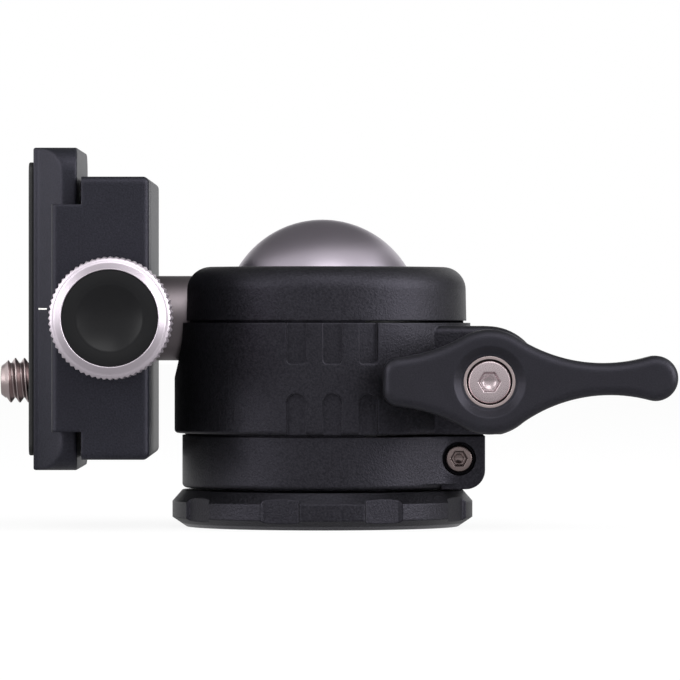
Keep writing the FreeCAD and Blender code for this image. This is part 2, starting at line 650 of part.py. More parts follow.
def rounded_end(body):
    """The round outer end of the upper ears, turned about the bolt's axis."""
    made = sketch(body, "XY_Plane", "bolt_z")
    outline(made, [
        ("bolt_x", "-ear_half"),
        ("bolt_x + ear_radius", "-ear_half", "ear_round"),
        ("bolt_x + ear_radius", "ear_half", "ear_round"),
        ("bolt_x", "ear_half"),
    ])
    axis = made.addGeometry(Part.LineSegment(Vector(size("bolt_x"), 0, 0), Vector(size("bolt_x"), 1, 0)), True)
    fix(made, axis, 1, "bolt_x", "-ear_half")
    fix(made, axis, 2, "bolt_x", "ear_half")
    added = body.newObject("PartDesign::Revolution", "housing_ear")
    added.Profile = made
    added.ReferenceAxis = (made, ["Axis0"])
    added.Angle = 360
    return added


def groove(body, turn, low, high, corner_low, corner_high):
    """One grip groove, cut towards the axis from a plane that stands off the band."""
    made = body.newObject("Sketcher::SketchObject", "housing_groove")
    plane = next(item for item in body.Origin.OriginFeatures if item.Role == "XZ_Plane")
    made.AttachmentSupport = [(plane, "")]
    made.MapMode = "FlatFace"
    made.AttachmentOffset = Placement(Vector(), Rotation(Vector(0, 1, 0), 1))
    bind(made, AttachmentOffset__Rotation__Angle=turn,
         AttachmentOffset__Base__x=f"(band_radius + overcut) * sin({turn})",
         AttachmentOffset__Base__z=f"(band_radius + overcut) * cos({turn})")
    lows = (low, corner_low) if corner_low else (low,)
    highs = (high, corner_high) if corner_high else (high,)
    outline(made, [
        ("-groove_wide / 2",) + lows,
        ("groove_wide / 2",) + lows,
        ("groove_wide / 2",) + highs,
        ("-groove_wide / 2",) + highs,
    ])
    feature(body, "Pocket", made, Length="collar_in + overcut")


def split_ring(label, inner, outer, low, high):
    """A flat ring, open at the clamp slit."""
    ring = rod("z", outer, low, high)
    hole = rod("z", inner, f"({low}) - overcut", f"({high}) + overcut")
    gap = slab(f"({inner}) / 2", "-slit_wide / 2", f"({low}) - overcut", f"({outer}) * 2", "slit_wide",
               f"({high}) - ({low}) + 2 * overcut")
    return piece(cut(ring, hole, gap), label)


def build_inner_rings():
    """What the housing holds between the spigot and the ball."""
    split_ring("pan_bush", "bush_inner", "bush_outer", "housing_low + pan_gap",
               "housing_low + pan_gap + bush_tall")
    split_ring("retaining_ring", "spigot_radius - ring_bite + fit_gap", "pan_bore + ring_bite - seat_gap",
               "ring_low", "ring_top")
    washer = rod("z", "spigot_radius - washer_in", "spigot_top + fit_gap",
                 "spigot_top + fit_gap + washer_thick")
    hole = rod("z", "cup_hole", "spigot_top - overcut", "spigot_top + 2 * overcut")
    piece(cut(washer, hole), "slip_washer")

    body = new_body("cup_spring")
    low = "spigot_top + fit_gap + washer_thick + seat_gap"
    high = "spigot_top + cup_floor - seat_gap"
    revolved(body, [
        ("spring_hole", f"{high} - spring_thick"),
        ("spigot_radius - spring_in", low),
        ("spigot_radius - spring_in", f"{low} + spring_thick"),
        ("spring_hole", high),
    ])

    cup = rod("z", "bore_radius - seat_gap", "spigot_top + cup_floor", "ball_up - cup_below")
    hole = rod("z", "cup_hole", "spigot_top", "ball_up")
    piece(cut(cup, hole, ball_shape("socket_radius")), "lower_cup")

    seat = rod("z", "bore_radius - seat_gap", "ball_up - seat_tall_down", "ball_up + seat_tall_up - seat_gap")
    notch = rod("-x", "notch_half", "ball_radius / 2", "2 * ball_radius", z="ball_up")
    above = slab("-2 * ball_radius", "-notch_half", "ball_up", "1.5 * ball_radius", "2 * notch_half",
                 "ball_radius")
    piece(cut(seat, ball_shape("socket_radius"), notch, above), "upper_seat")


# Lever and its bolt


def tangent_centre(first, first_radius, second, second_radius, side):
    """Centre of a circle that touches two others from outside, given its distance to each."""
    gap = (second - first).Length
    along = (first_radius ** 2 - second_radius ** 2 + gap ** 2) / (2 * gap)
    off = math.sqrt(first_radius ** 2 - along ** 2)
    ahead = (second - first).normalize()
    return first + ahead * along + Vector(-ahead.y, ahead.x, 0) * off * side


def draw_lever(made):
    """Lever outline about the bolt axis: tangent arcs from hub to tip and from hub to heel."""
    hub = Vector(size("bolt_x"), size("bolt_z"), 0)
    tip = hub + Vector(size("tip_reach"), size("tip_lift"), 0)
    corner_x = size("heel_corner - heel_reach")
    corner_y = size("heel_half - heel_corner")
    heel_low = hub + Vector(corner_x, -corner_y, 0)
    heel_high = hub + Vector(corner_x, corner_y, 0)
    hub_radius = size("hub_radius")
    tip_radius = size("tip_radius")
    corner_radius = size("heel_corner")
    top = size("arm_sweep_top")
    low = size("arm_sweep_low")
    heel = size("heel_sweep")
    top_mid = tangent_centre(hub, hub_radius + top, tip, tip_radius + top, 1)
    low_mid = tangent_centre(hub, hub_radius + low, tip, tip_radius + low, -1)
    heel_low_mid = tangent_centre(hub, hub_radius + heel, heel_low, corner_radius + heel, 1)
    heel_high_mid = tangent_centre(hub, hub_radius + heel, heel_high, corner_radius + heel, -1)

    def touch(middle, centre, radius):
        return centre + (middle - centre).normalize() * radius

    left = Vector(-corner_radius, 0, 0)
    hub_place = ("bolt_x", "bolt_z")
    tip_place = ("bolt_x + tip_reach", "bolt_z + tip_lift")
    high_place = ("bolt_x + heel_corner - heel_reach", "bolt_z + heel_half - heel_corner")
    low_place = ("bolt_x + heel_corner - heel_reach", "bolt_z - heel_half + heel_corner")
    # Each arc: centre, radius, start, end, the formulas of its centre where it is held, and True where
    # the arc runs counterclockwise; None is the straight end of the short arm
    arcs = [
        (hub, "hub_radius", touch(top_mid, hub, hub_radius), touch(heel_high_mid, hub, hub_radius),
         hub_place, True),
        (heel_high_mid, "heel_sweep", touch(heel_high_mid, hub, hub_radius),
         touch(heel_high_mid, heel_high, corner_radius), None, False),
        (heel_high, "heel_corner", touch(heel_high_mid, heel_high, corner_radius), heel_high + left,
         high_place, True),
        None,
        (heel_low, "heel_corner", heel_low + left, touch(heel_low_mid, heel_low, corner_radius),
         low_place, True),
        (heel_low_mid, "heel_sweep", touch(heel_low_mid, heel_low, corner_radius),
         touch(heel_low_mid, hub, hub_radius), None, False),
        (hub, "hub_radius", touch(heel_low_mid, hub, hub_radius), touch(low_mid, hub, hub_radius),
         hub_place, True),
        (low_mid, "arm_sweep_low", touch(low_mid, hub, hub_radius), touch(low_mid, tip, tip_radius),
         None, False),
        (tip, "tip_radius", touch(low_mid, tip, tip_radius), touch(top_mid, tip, tip_radius),
         tip_place, True),
        (top_mid, "arm_sweep_top", touch(top_mid, tip, tip_radius), touch(top_mid, hub, hub_radius),
         None, False),
    ]
    ends = []
    for arc in arcs:
        if arc is None:
            index = made.addGeometry(Part.LineSegment(heel_high + left, heel_low + left))
            ends.append((index, 1, 2))
            continue
        centre, radius, start, end, place, forward = arc
        first, last = (start, end) if forward else (end, start)
        turn = [math.atan2(spot.y - centre.y, spot.x - centre.x) for spot in (first, last)]
        if turn[1] < turn[0]:
            turn[1] += 2 * math.pi
        round_part = Part.Circle(centre, Vector(0, 0, 1), size(radius))
        index = made.addGeometry(Part.ArcOfCircle(round_part, turn[0], turn[1]))
        ends.append((index, 1, 2) if forward else (index, 2, 1))
    for place, (index, start, end) in enumerate(ends):
        follower = ends[(place + 1) % len(ends)]
        made.addConstraint(Sketcher.Constraint("Tangent", index, end, follower[0], follower[1]))
    for arc, (index, start, end) in zip(arcs, ends):
        if arc is None:
            continue
        held = made.addConstraint(Sketcher.Constraint("Radius", index, size(arc[1])))
        made.setExpression(f"Constraints[{held}]", tie(arc[1]))
        if arc[4]:
            fix(made, index, 3, *arc[4])


def build_lever():
    """Two-armed lever, the bolt that it drives, and the screw and sleeve in its hub."""
    body = new_body("lock_lever")
    pad(body, "XZ_Plane", "lever_stand_off", "lever_front", draw_lever)
    soften(body, "lever_round", lambda edge: abs(edge.BoundBox.YLength) < 1e-4)
    pad(body, "XZ_Plane", "hub_back", "lever_stand_off + lever_thick / 2",
        lambda made: circle(made, "bolt_x", "bolt_z", "hub_radius - lever_round / 2"))
    dish = body.newObject("PartDesign::SubtractiveCone", "lock_lever_dish")
    dish.Placement = Placement(Vector(), AXIS_TURN["-y"])
    bind(dish, Radius1="hub_sink_radius", Radius2="hub_dish_radius", Height="hub_dish_deep",
         Placement__Base__x="bolt_x", Placement__Base__y="-(lever_front - hub_dish_deep)",
         Placement__Base__z="bolt_z")
    floor = "lever_front - hub_dish_deep - sleeve_deep"
    pocket(body, "XZ_Plane", floor, "lever_front",
           lambda made: circle(made, "bolt_x", "bolt_z", "sleeve_radius + seat_gap"))
    pocket(body, "XZ_Plane", "0", floor + " + overcut",
           lambda made: circle(made, "bolt_x", "bolt_z", "centre_shank + seat_gap"))
    drive = floor + " - drive_web"

    def drive_outline(made):
        half = "(bolt_drive + seat_gap)"
        block(made, f"bolt_x - {half}", f"bolt_z - {half}", f"bolt_x + {half}", f"bolt_z + {half}")
    pocket(body, "XZ_Plane", "0", drive, drive_outline)

    shank = rod("-y", "bolt_radius", "-(ear_half - nut_sunk)", "hub_back + overcut", x="bolt_x", z="bolt_z")
    square = slab("bolt_x - bolt_drive", f"-({drive} - seat_gap)", "bolt_z - bolt_drive", "2 * bolt_drive",
                  f"{drive} - seat_gap - hub_back", "2 * bolt_drive")
    tapped = rod("-y", "centre_shank + seat_gap", "ear_half - bolt_tap_deep", floor, x="bolt_x", z="bolt_z")
    piece(cut(joined(shank, square), tapped), "lock_bolt")

    nut = hexagon("-y", "nut_flats", "-(ear_half - nut_sunk)", "-(ear_half - nut_sunk - nut_thick + seat_gap)",
                  x="bolt_x", z="bolt_z")
    nut_bore = rod("-y", "bolt_radius + fit_gap", "-2 * ear_half", "0", x="bolt_x", z="bolt_z")
    piece(cut(nut, nut_bore), "clamp_nut")

    washer = rod("-y", "thrust_radius", "ear_half", "ear_half + thrust_thick", x="bolt_x", z="bolt_z")
    washer_bore = rod("-y", "bolt_radius + fit_gap", "0", "2 * ear_half", x="bolt_x", z="bolt_z")
    piece(cut(washer, washer_bore), "thrust_washer")

    sleeve_front = "lever_front - hub_dish_deep"
    ring = rod("-y", "sleeve_radius", floor, sleeve_front, x="bolt_x", z="bolt_z")
    ring_bore = rod("-y", "sleeve_radius - sleeve_wall", "0", "2 * lever_front", x="bolt_x", z="bolt_z")
    piece(cut(ring, ring_bore), "lever_sleeve")

    head = rod("-y", "centre_head_radius", floor, f"{floor} + centre_head_tall", x="bolt_x", z="bolt_z")
    screw_shank = rod("-y", "centre_shank", "ear_half - centre_shank_deep", floor + " + overcut", x="bolt_x",
                      z="bolt_z")
    socket = hexagon("-y", "centre_hex_half", f"{floor} + centre_head_tall / 3", "2 * lever_front",
                     x="bolt_x", z="bolt_z")
    piece(cut(joined(head, screw_shank), socket), "lever_screw")


def build_pan_lock_screw():
    """Socket screw that closes the pan clamp band."""
    front = "low_ear_half - pan_head_sunk"
    seat = f"{front} - pan_head_tall"
    head = rod("-y", "pan_head_radius", seat, front, x="pan_screw_reach", z="pan_screw_z")
    shank = rod("-y", "pan_screw_radius", "-(low_ear_half - pan_shank_short)", f"{seat} + overcut",
                x="pan_screw_reach", z="pan_screw_z")
    socket = hexagon("-y", "pan_hex_half", f"{front} - pan_head_tall / 2", f"{front} + overcut",
                     x="pan_screw_reach", z="pan_screw_z")
    piece(cut(joined(head, shank), socket), "pan_lock_screw")


# Ball, stem and clamp


def build_ball_and_stem():
    """Ball with the bore for its stem, and the turned stem."""
    seat = rod("-x", "stem_radius + fit_gap", "stem_seat - fit_gap", "2 * ball_radius", z="ball_up")
    bore = rod("-x", "stem_spigot + fit_gap", "stem_root - fit_gap", "ball_radius", z="ball_up")
    piece(cut(ball_shape("ball_radius"), seat, bore), "ball")

    neck = rod("-x", "stem_radius", "stem_seat", "stem_reach - seat_gap", z="ball_up")
    spigot = rod("-x", "stem_spigot", "stem_root", "stem_seat + overcut", z="ball_up")
    tapped = rod("-x", "stem_bore", "stem_seat - stem_bore_deep", "2 * stem_reach", z="ball_up")
    holes = []
    for side in ("-", ""):
        holes.append(rod("-x", "turn_pin_radius + seat_gap", "stem_reach - turn_pin_deep", "2 * stem_reach",
                         y=f"{side}turn_pin_apart / 2", z="ball_up"))
    piece(cut(joined(neck, spigot), tapped, *holes), "stem")

    pins = []
    for side in ("-", ""):
        pins.append(rod("-x", "turn_pin_radius", "stem_reach - turn_pin_deep", "stem_reach + turn_pin_deep",
                        y=f"{side}turn_pin_apart / 2", z="ball_up"))
    group = doc.addObject("Part::Compound", "Pins")
    group.Links = pins
    piece(group, "anti_turn_pins")

    sink = "stem_reach + clamp_floor - seat_gap"
    cone_deep = "stem_screw_head - stem_screw_radius"
    shank = rod("-x", "stem_screw_radius", f"{sink} - stem_screw_long", sink, z="ball_up")
    cone = rod("-x", "stem_screw_radius", f"{sink} - ({cone_deep})", sink, z="ball_up", top="stem_screw_head")
    socket = hexagon("-x", "stem_hex_half", f"{sink} - ({cone_deep})", f"{sink} + overcut", z="ball_up")
    piece(cut(joined(shank, cone), socket), "stem_screw")


def lip_notches(body):
    """Cut the jaw lips back at both ends of the clamp."""
    for low, high in (("clamp_low - overcut", "ball_up - lip_long / 2"),
                      ("ball_up + lip_long / 2", "clamp_high + overcut")):
        pocket(body, "XY_Plane", low, high, lambda made: block(
            made, "jaw_top_x - overcut", "-jaw_outer - overcut", "lip_x", "jaw_outer + overcut"))


def build_clamp_body():
    """Clamp floor with the fixed rear jaw."""
    body = new_body("clamp_body")
    pad(body, "XY_Plane", "clamp_low", "clamp_high", lambda made: outline(made, [
        ("clamp_face_x", "-body_edge"),
        ("clamp_face_x", "jaw_outer", "clamp_round"),
        ("jaw_top_x", "jaw_outer", "clamp_round"),
        ("jaw_top_x", "groove_half - (plate_slope_x - jaw_top_x)"),
        ("plate_slope_x", "groove_half"),
        ("floor_x", "groove_half"),
        ("floor_x", "-body_edge"),
    ]))
    lip_notches(body)
    soften(body, "clamp_round", end_edges("jaw_outer"))
    through = "stem_reach + clamp_floor + overcut"
    tools = [
        ("stem_screw_radius + 2 * seat_gap", "0", through, "0"),
    ]
    for side in ("-", ""):
        tools.append(("turn_pin_radius + seat_gap", "0", "stem_reach + turn_pin_deep + seat_gap",
                      f"{side}turn_pin_apart / 2"))
    for radius, start, end, y in tools:
        pocket(body, "YZ_Plane", f"-({end})", f"-({start})",
               lambda made, radius=radius, y=y: circle(made, y, "ball_up", radius))
    sink = body.newObject("PartDesign::SubtractiveCone", "clamp_body_sink")
    sink.Placement = Placement(Vector(), AXIS_TURN["-x"])
    bind(sink, Radius1="stem_screw_radius + 2 * seat_gap", Radius2="stem_screw_head + 2 * seat_gap",
         Height="stem_screw_head - stem_screw_radius",
         Placement__Base__x="floor_x + stem_screw_head - stem_screw_radius", Placement__Base__z="ball_up")
    pocket(body, "XZ_Plane", "clamp_screw_end - clamp_screw_room", "body_edge + overcut",
           lambda made: circle(made, "knob_x", "ball_up", "clamp_screw_radius + fit_gap"))
    pocket(body, "XZ_Plane", "body_edge - spring_room", "body_edge + overcut",
           lambda made: circle(made, "knob_x", "ball_up", "spring_outer + fit_gap"))
    for side in ("-", "+"):
        pocket(body, "XZ_Plane", "jaw_outer - guide_cover - guide_deep - seat_gap", "body_edge + overcut",
               lambda made, side=side: circle(made, "knob_x", f"ball_up {side} guide_apart / 2",
                                              "guide_radius + seat_gap"))


def end_edges(outer):
    """A test for the edges round the clamp's outer faces at its two ends."""
    def wanted(edge):
        box = edge.BoundBox
        flat = box.ZLength < 1e-3
        at_end = flat and any(abs(box.ZMin - size(z)) < 1e-3 for z in ("clamp_low", "clamp_high"))
        outside = abs(abs(box.YMin) - size(outer)) < 1e-3 and box.YLength < 1e-3
        return at_end and outside
    return wanted


def build_movable_jaw():
    """Front jaw, with holes for the guide pins and the clamp screw."""
    body = new_body("movable_jaw")
    pad(body, "XY_Plane", "clamp_low", "clamp_high", lambda made: outline(made, [
        ("clamp_face_x", "-jaw_inner"),
        ("floor_x", "-jaw_inner"),
        ("floor_x", "-groove_half"),
        ("plate_slope_x", "-groove_half"),
        ("jaw_top_x", "plate_slope_x - jaw_top_x - groove_half"),
        ("jaw_top_x", "-jaw_outer", "clamp_round"),
        ("clamp_face_x", "-jaw_outer", "clamp_round"),
    ]))
    lip_notches(body)
    soften(body, "clamp_round", end_edges("jaw_outer"))
    pocket(body, "XZ_Plane", "jaw_inner - overcut", "jaw_outer + overcut",
           lambda made: circle(made, "knob_x", "ball_up", "clamp_screw_radius + fit_gap"))
    for side in ("-", "+"):
        pocket(body, "XZ_Plane", "jaw_inner - overcut", "jaw_outer - guide_cover + seat_gap",
               lambda made, side=side: circle(made, "knob_x", f"ball_up {side} guide_apart / 2",
                                              "guide_radius + fit_gap"))


def build_clamp_hardware():
    """Guide pins, jaw spring, washer, knob and clamp screw."""
    pins = []
    for side in ("-", "+"):
        tip = "jaw_outer - guide_cover"
        pins.append(rod("-y", "guide_radius", f"{tip} - guide_deep", tip, x="knob_x",
                        z=f"ball_up {side} guide_apart / 2"))
    group = doc.addObject("Part::Compound", "Pins")
    group.Links = pins
    piece(group, "guide_pins")

    coil = rod("-y", "spring_outer", "body_edge - spring_room + seat_gap", "jaw_inner - fit_gap", x="knob_x",
               z="ball_up")
    coil_bore = rod("-y", "spring_outer - spring_wire", "0", "jaw_outer", x="knob_x", z="ball_up")
    piece(cut(coil, coil_bore), "jaw_spring")

    washer = rod("-y", "knob_washer_radius", "jaw_outer", "jaw_outer + knob_washer_thick", x="knob_x",
                 z="ball_up")
    washer_bore = rod("-y", "clamp_screw_radius + fit_gap", "0", "2 * jaw_outer", x="knob_x", z="ball_up")
    piece(cut(washer, washer_bore), "knob_washer")

    ring = new_body("knob_ring")
    ring.Placement = Placement(Vector(), AXIS_TURN["-y"])
    bind(ring, Placement__Base__x="knob_x", Placement__Base__y="-knob_back", Placement__Base__z="ball_up")
    cap_start = "(knob_long - cap_sunk - cap_deep)"
    revolved(ring, [
        ("clamp_screw_radius + seat_gap", "0"),
        ("knob_radius", "0", "knob_round"),
        ("knob_radius", "knob_long", "knob_round"),
        ("cap_radius", "knob_long"),
        ("cap_radius", cap_start),
        ("clamp_screw_radius + seat_gap", cap_start),
    ])
    across = "(knob_radius + tooth_deep) * cos(180 / knob_teeth)"
    half_gap = "(knob_radius + tooth_deep) * tooth_flare * sin(180 / knob_teeth)"
    tooth = pocket(ring, "XY_Plane", "0", "knob_long", lambda made: outline(made, [
        ("knob_radius - tooth_deep", "0"),
        (across, "-" + half_gap),
        (across, half_gap),
    ]))
    polar(ring, tooth, "knob_teeth")

    cap = rod("-y", "cap_radius - seat_gap", "cap_back + seat_gap", "knob_front - cap_sunk", x="knob_x",
              z="ball_up")
    dish = rod("-y", "cap_dish_radius - cap_dish_deep", "knob_front - cap_sunk - cap_dish_deep",
               "knob_front - cap_sunk", x="knob_x", z="ball_up", top="cap_dish_radius")
    piece(cut(cap, dish), "knob_cap")

    screw = rod("-y", "clamp_screw_radius", "clamp_screw_end", "cap_back", x="knob_x", z="ball_up")
    piece(screw, "clamp_screw")


# Camera plate


def slot_and_recess(body, start, end, half):
    """A slot along the plate, round at both ends, between two distances along -X."""
    long_half = f"camera_travel / 2 + {half} + fit_gap"
    pocket(body, "YZ_Plane", end, start, lambda made: outline(made, [
        (f"-{half}", f"plate_mid - ({long_half})", f"{half} - seat_gap"),
        (half, f"plate_mid - ({long_half})", f"{half} - seat_gap"),
        (half, f"plate_mid + {long_half}", f"{half} - seat_gap"),
        (f"-{half}", f"plate_mid + {long_half}", f"{half} - seat_gap"),
    ]))


def build_plate():
    """Dovetail plate with its slot, pad, camera screw and retaining washer."""
    body = new_body("quick_release_plate")
    pad(body, "YZ_Plane", "plate_top_x", "plate_base_x", lambda made: outline(made, [
        ("-plate_half", "plate_low", "plate_corner"),
        ("plate_half", "plate_low", "plate_corner"),
        ("plate_half", "plate_high", "plate_corner"),
        ("-plate_half", "plate_high", "plate_corner"),
    ]))
    for side in ("", "-"):
        def dovetail(made, side=side):
            outline(made, [
                ("plate_slope_x", f"{side}plate_half"),
                ("plate_slope_x", f"{side}(plate_half + overcut)"),
                ("plate_top_x - overcut", f"{side}(plate_half + overcut)"),
                ("plate_top_x - overcut", f"{side}neck_half"),
                ("plate_neck_x", f"{side}neck_half"),
            ])
        pocket(body, "XY_Plane", "plate_low - overcut", "plate_high + overcut", dovetail)
    slot_and_recess(body, "plate_base_x + overcut", "plate_top_x - overcut", "slot_half")
    slot_and_recess(body, "plate_base_x + overcut", "recess_top_x", "recess_half")

    rubber = new_body("rubber_pad")
    pad(rubber, "YZ_Plane", "pad_top_x", "plate_top_x", lambda made: outline(made, [
        ("-(neck_half - pad_edge_side)", "plate_low + pad_edge_end", "plate_corner / 2"),
        ("neck_half - pad_edge_side", "plate_low + pad_edge_end", "plate_corner / 2"),
        ("neck_half - pad_edge_side", "plate_high - pad_edge_end", "plate_corner / 2"),
        ("-(neck_half - pad_edge_side)", "plate_high - pad_edge_end", "plate_corner / 2"),
    ]))
    slot_and_recess(rubber, "plate_top_x + overcut", "pad_top_x - overcut", "slot_half")

    thread_start = "-pad_top_x + camera_neck_out"
    tip = "-pad_top_x + camera_screw_stand"
    head = rod("-x", "camera_head_radius", "-camera_head_x", "-camera_seat_x", z="camera_z")
    neck = rod("-x", "camera_neck_radius", "-camera_seat_x", thread_start, z="camera_z")
    thread = rod("-x", "camera_screw_radius", thread_start, f"{tip} - camera_point", z="camera_z")
    point = rod("-x", "camera_screw_radius", f"{tip} - camera_point", tip, z="camera_z",
                top="camera_screw_radius - camera_point")
    coin = slab("camera_head_x - camera_head_tall / 2", "-camera_head_radius - overcut",
                "camera_z - coin_slot_wide / 2", "camera_head_tall", "2 * (camera_head_radius + overcut)",
                "coin_slot_wide")
    piece(cut(joined(head, neck, thread, point), coin), "camera_screw")

    washer = rod("-x", "camera_head_radius", "-camera_seat_x + fit_gap",
                 "-camera_seat_x + fit_gap + camera_washer_thick", z="camera_z")
    washer_bore = rod("-x", "camera_neck_radius + fit_gap", "0", "2 * stem_reach", z="camera_z")
    piece(cut(washer, washer_bore), "camera_screw_washer")


build_pan_base()
build_thread_insert()
build_housing()
build_inner_rings()
build_lever()
build_pan_lock_screw()
build_ball_and_stem()
build_clamp_body()
build_movable_jaw()
build_clamp_hardware()
build_plate()
doc.recompute()

for item in doc.Objects:
    if "Invalid" in item.State or "Error" in item.State:
        raise RuntimeError(f"{item.Name} ({item.Label}) failed: {item.State}")
os.makedirs("parts", exist_ok=True)
for item in PIECES:
    if item.Shape.isNull() or not item.Shape.isValid():
        raise RuntimeError(item.Label + " has no valid shape")
for item in PIECES:
    item.Shape.exportStep("parts/" + item.Label + ".step")
    print(item.Label, len(item.Shape.Solids), round(item.Shape.Volume, 1))
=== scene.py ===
"""Finishes, turned and threaded pieces, and the studio for a tripod ball head. Run as a script, in metres."""

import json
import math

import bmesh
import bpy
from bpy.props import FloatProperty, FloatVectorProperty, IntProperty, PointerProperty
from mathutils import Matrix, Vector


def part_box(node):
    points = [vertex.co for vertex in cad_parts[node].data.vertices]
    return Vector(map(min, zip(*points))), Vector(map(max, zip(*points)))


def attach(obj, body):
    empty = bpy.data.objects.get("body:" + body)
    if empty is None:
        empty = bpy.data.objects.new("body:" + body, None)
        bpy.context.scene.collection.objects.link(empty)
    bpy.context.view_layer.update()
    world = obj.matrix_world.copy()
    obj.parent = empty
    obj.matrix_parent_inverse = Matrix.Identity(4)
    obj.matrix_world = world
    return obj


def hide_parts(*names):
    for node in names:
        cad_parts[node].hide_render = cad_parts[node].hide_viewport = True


bl_info = {
    "name": "Tripod Ball Head",
    "version": (1, 0, 0),
    "blender": (4, 5, 0),
    "location": "View3D > Sidebar > Ball Head",
    "description": "Finishes, knurl, threads, sockets and studio for a tripod ball head",
    "category": "Object",
}

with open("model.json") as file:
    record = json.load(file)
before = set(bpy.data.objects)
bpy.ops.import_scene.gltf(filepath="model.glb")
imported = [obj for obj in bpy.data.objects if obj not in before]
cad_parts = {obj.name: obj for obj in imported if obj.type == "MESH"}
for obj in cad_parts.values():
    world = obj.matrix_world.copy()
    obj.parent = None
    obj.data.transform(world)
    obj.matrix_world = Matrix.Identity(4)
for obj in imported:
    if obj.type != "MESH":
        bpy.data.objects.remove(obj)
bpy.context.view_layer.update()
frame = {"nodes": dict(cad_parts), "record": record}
MM = 0.001
# Room between two turned pieces that seat in each other
SEAT = 0.02 * MM
# How far the index line's paint stands above the plate's face, and reaches below it
FILM = 0.02 * MM
# Points of a CAD mesh that are closer than this are one
WELD = 0.002 * MM
# Faces that meet at less than this are one flat face, and at more than the next a sharp edge
FLAT_BELOW = math.radians(0.6)
SHARP_ABOVE = math.radians(32)
# Lamps and cards face the ball
AIM = Vector((0, 0, 0.03))


def linear(code):
    """An sRGB hex colour as linear red, green and blue."""
    shares = [int(code[place:place + 2], 16) / 255 for place in (1, 3, 5)]
    return tuple(share / 12.92 if share <= 0.04045 else ((share + 0.055) / 1.055) ** 2.4 for share in shares)


def middle(node):
    """The centre of a CAD node's box."""
    low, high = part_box(node)
    return (Vector(low) + Vector(high)) / 2


# Settings


def length(name, description, default_mm):
    """A length property, given in millimetres."""
    return FloatProperty(name=name, description=description, default=default_mm * MM, min=0, unit="LENGTH",
                         subtype="DISTANCE", precision=5)


def colour(name, description, code):
    """A colour property, given as an sRGB hex value."""
    return FloatVectorProperty(name=name, description=description, default=linear(code), size=3, min=0, max=1,
                               subtype="COLOR")


class HeadSizes(bpy.types.PropertyGroup):
    """Sizes that the frame does not hold."""

    knurl_teeth: IntProperty(name="Knurl teeth", description="Teeth round the clamp knob", default=64, min=8)
    knurl_depth: length("Knurl depth", "Depth of the knob's teeth", 0.28)
    knob_round: length("Knob rounding", "Radius of the knob's rim", 0.8)
    knob_fall: length("Knob fall", "Fall of the ring's face from the cap out to the rim", 0.9)
    dish_wide: length("Dish width", "Width of the dish in the knob's cap", 9.4)
    dish_deep: length("Dish depth", "Depth of the dish in the knob's cap", 1.0)
    camera_pitch: length("Camera screw pitch", "1/4 inch screw, 20 threads per inch", 25.4 / 20)
    camera_radius: length("Camera screw radius", "Half the 1/4 inch major diameter", 25.4 / 8)
    camera_depth: length("Camera screw thread depth", "Radial depth of the camera screw's thread", 0.69)
    camera_neck: length("Camera screw neck", "Radius of the plain neck that turns in the plate", 2.6)
    camera_head: length("Camera screw head", "Height of the camera screw's head", 2.4)
    camera_nose: length("Camera screw nose", "Length of the tapered nose before the first thread", 0.6)
    camera_turn: FloatProperty(name="Camera screw turn", description="Turn of the thread about its own axis",
                               default=math.radians(-88), unit="ROTATION")
    tripod_pitch: length("Tripod thread pitch", "3/8 inch thread, 16 threads per inch", 25.4 / 16)
    tripod_depth: length("Tripod thread depth", "Radial depth of the tripod thread", 0.76)
    tripod_bore: length("Tripod bore", "Minor radius of the tripod thread", 4.0)
    tripod_mouth: length("Tripod mouth", "Width of the cone at the tripod thread's mouth", 0.4)
    lever_head: length("Lever screw head", "Height of the lever screw's head", 2.2)
    lever_shank: length("Lever screw shank", "Radius of the lever screw's shank", 1.5)
    lever_flats: length("Lever screw socket", "Half the width across the hexagon's flats", 1.28)
    pan_head: length("Pan screw head", "Height of the pan lock screw's head", 2.5)
    pan_shank: length("Pan screw shank", "Radius of the pan lock screw's shank", 1.25)
    pan_flats: length("Pan screw socket", "Half the width across the hexagon's flats", 0.98)
    edge_round: length("Edge rounding", "Smallest rounding on turned edges", 0.12)
    plate_round: length("Plate rounding", "Rounding of the plate's edges", 0.4)
    pad_round: length("Pad rounding", "Rounding of the pad's edges", 0.25)
    dovetail_land: length("Plate land", "Straight strip between the plate's top and its dovetail slope", 0.6)
    dovetail_slope: length("Plate slope", "Width of the plate's 45 degree slope", 3.5)
    index_wide: length("Index line width", "Width of the white line on the plate", 0.2)
    index_long: length("Index line length", "Length of the white line across the plate's edge", 1.35)


class HeadColours(bpy.types.PropertyGroup):
    """Colours of the finishes."""

    housing: colour("Housing", "Black anodised housing and base", "#131315")
    lever: colour("Lever", "Black lever", "#18181b")
    clamp: colour("Clamp", "Black blasted clamp and plate", "#17181d")
    ball: colour("Ball", "Grey satin ball", "#aea6b1")
    # The stem's tint is darker than the ball's as painted shade for its shadowed place between ball and clamp
    stem: colour("Stem", "Darker grey stem", "#857d81")
    knob: colour("Knob", "Bright satin knob", "#cdc4cd")
    cap: colour("Cap", "Black knob cap", "#101012")
    steel: colour("Steel", "Stainless screw heads", "#c0b2b6")
    thread_steel: colour("Thread steel", "Camera screw, tripod insert and lever sleeve", "#b8a9a9")
    dark_steel: colour("Dark steel", "Pan lock screw", "#897b7a")
    # The spring steel's tint is its own dark grey, darkened further as painted shade for the seams it shows
    # through
    spring: colour("Spring steel", "Blackened rings and washers", "#3c3c3e")
    acetal: colour("Acetal", "Low-friction plastic", "#1a1a1b")
    rubber: colour("Rubber", "Pad on the plate", "#161617")
    paint: colour("Paint", "White index line", "#f4f2ee")


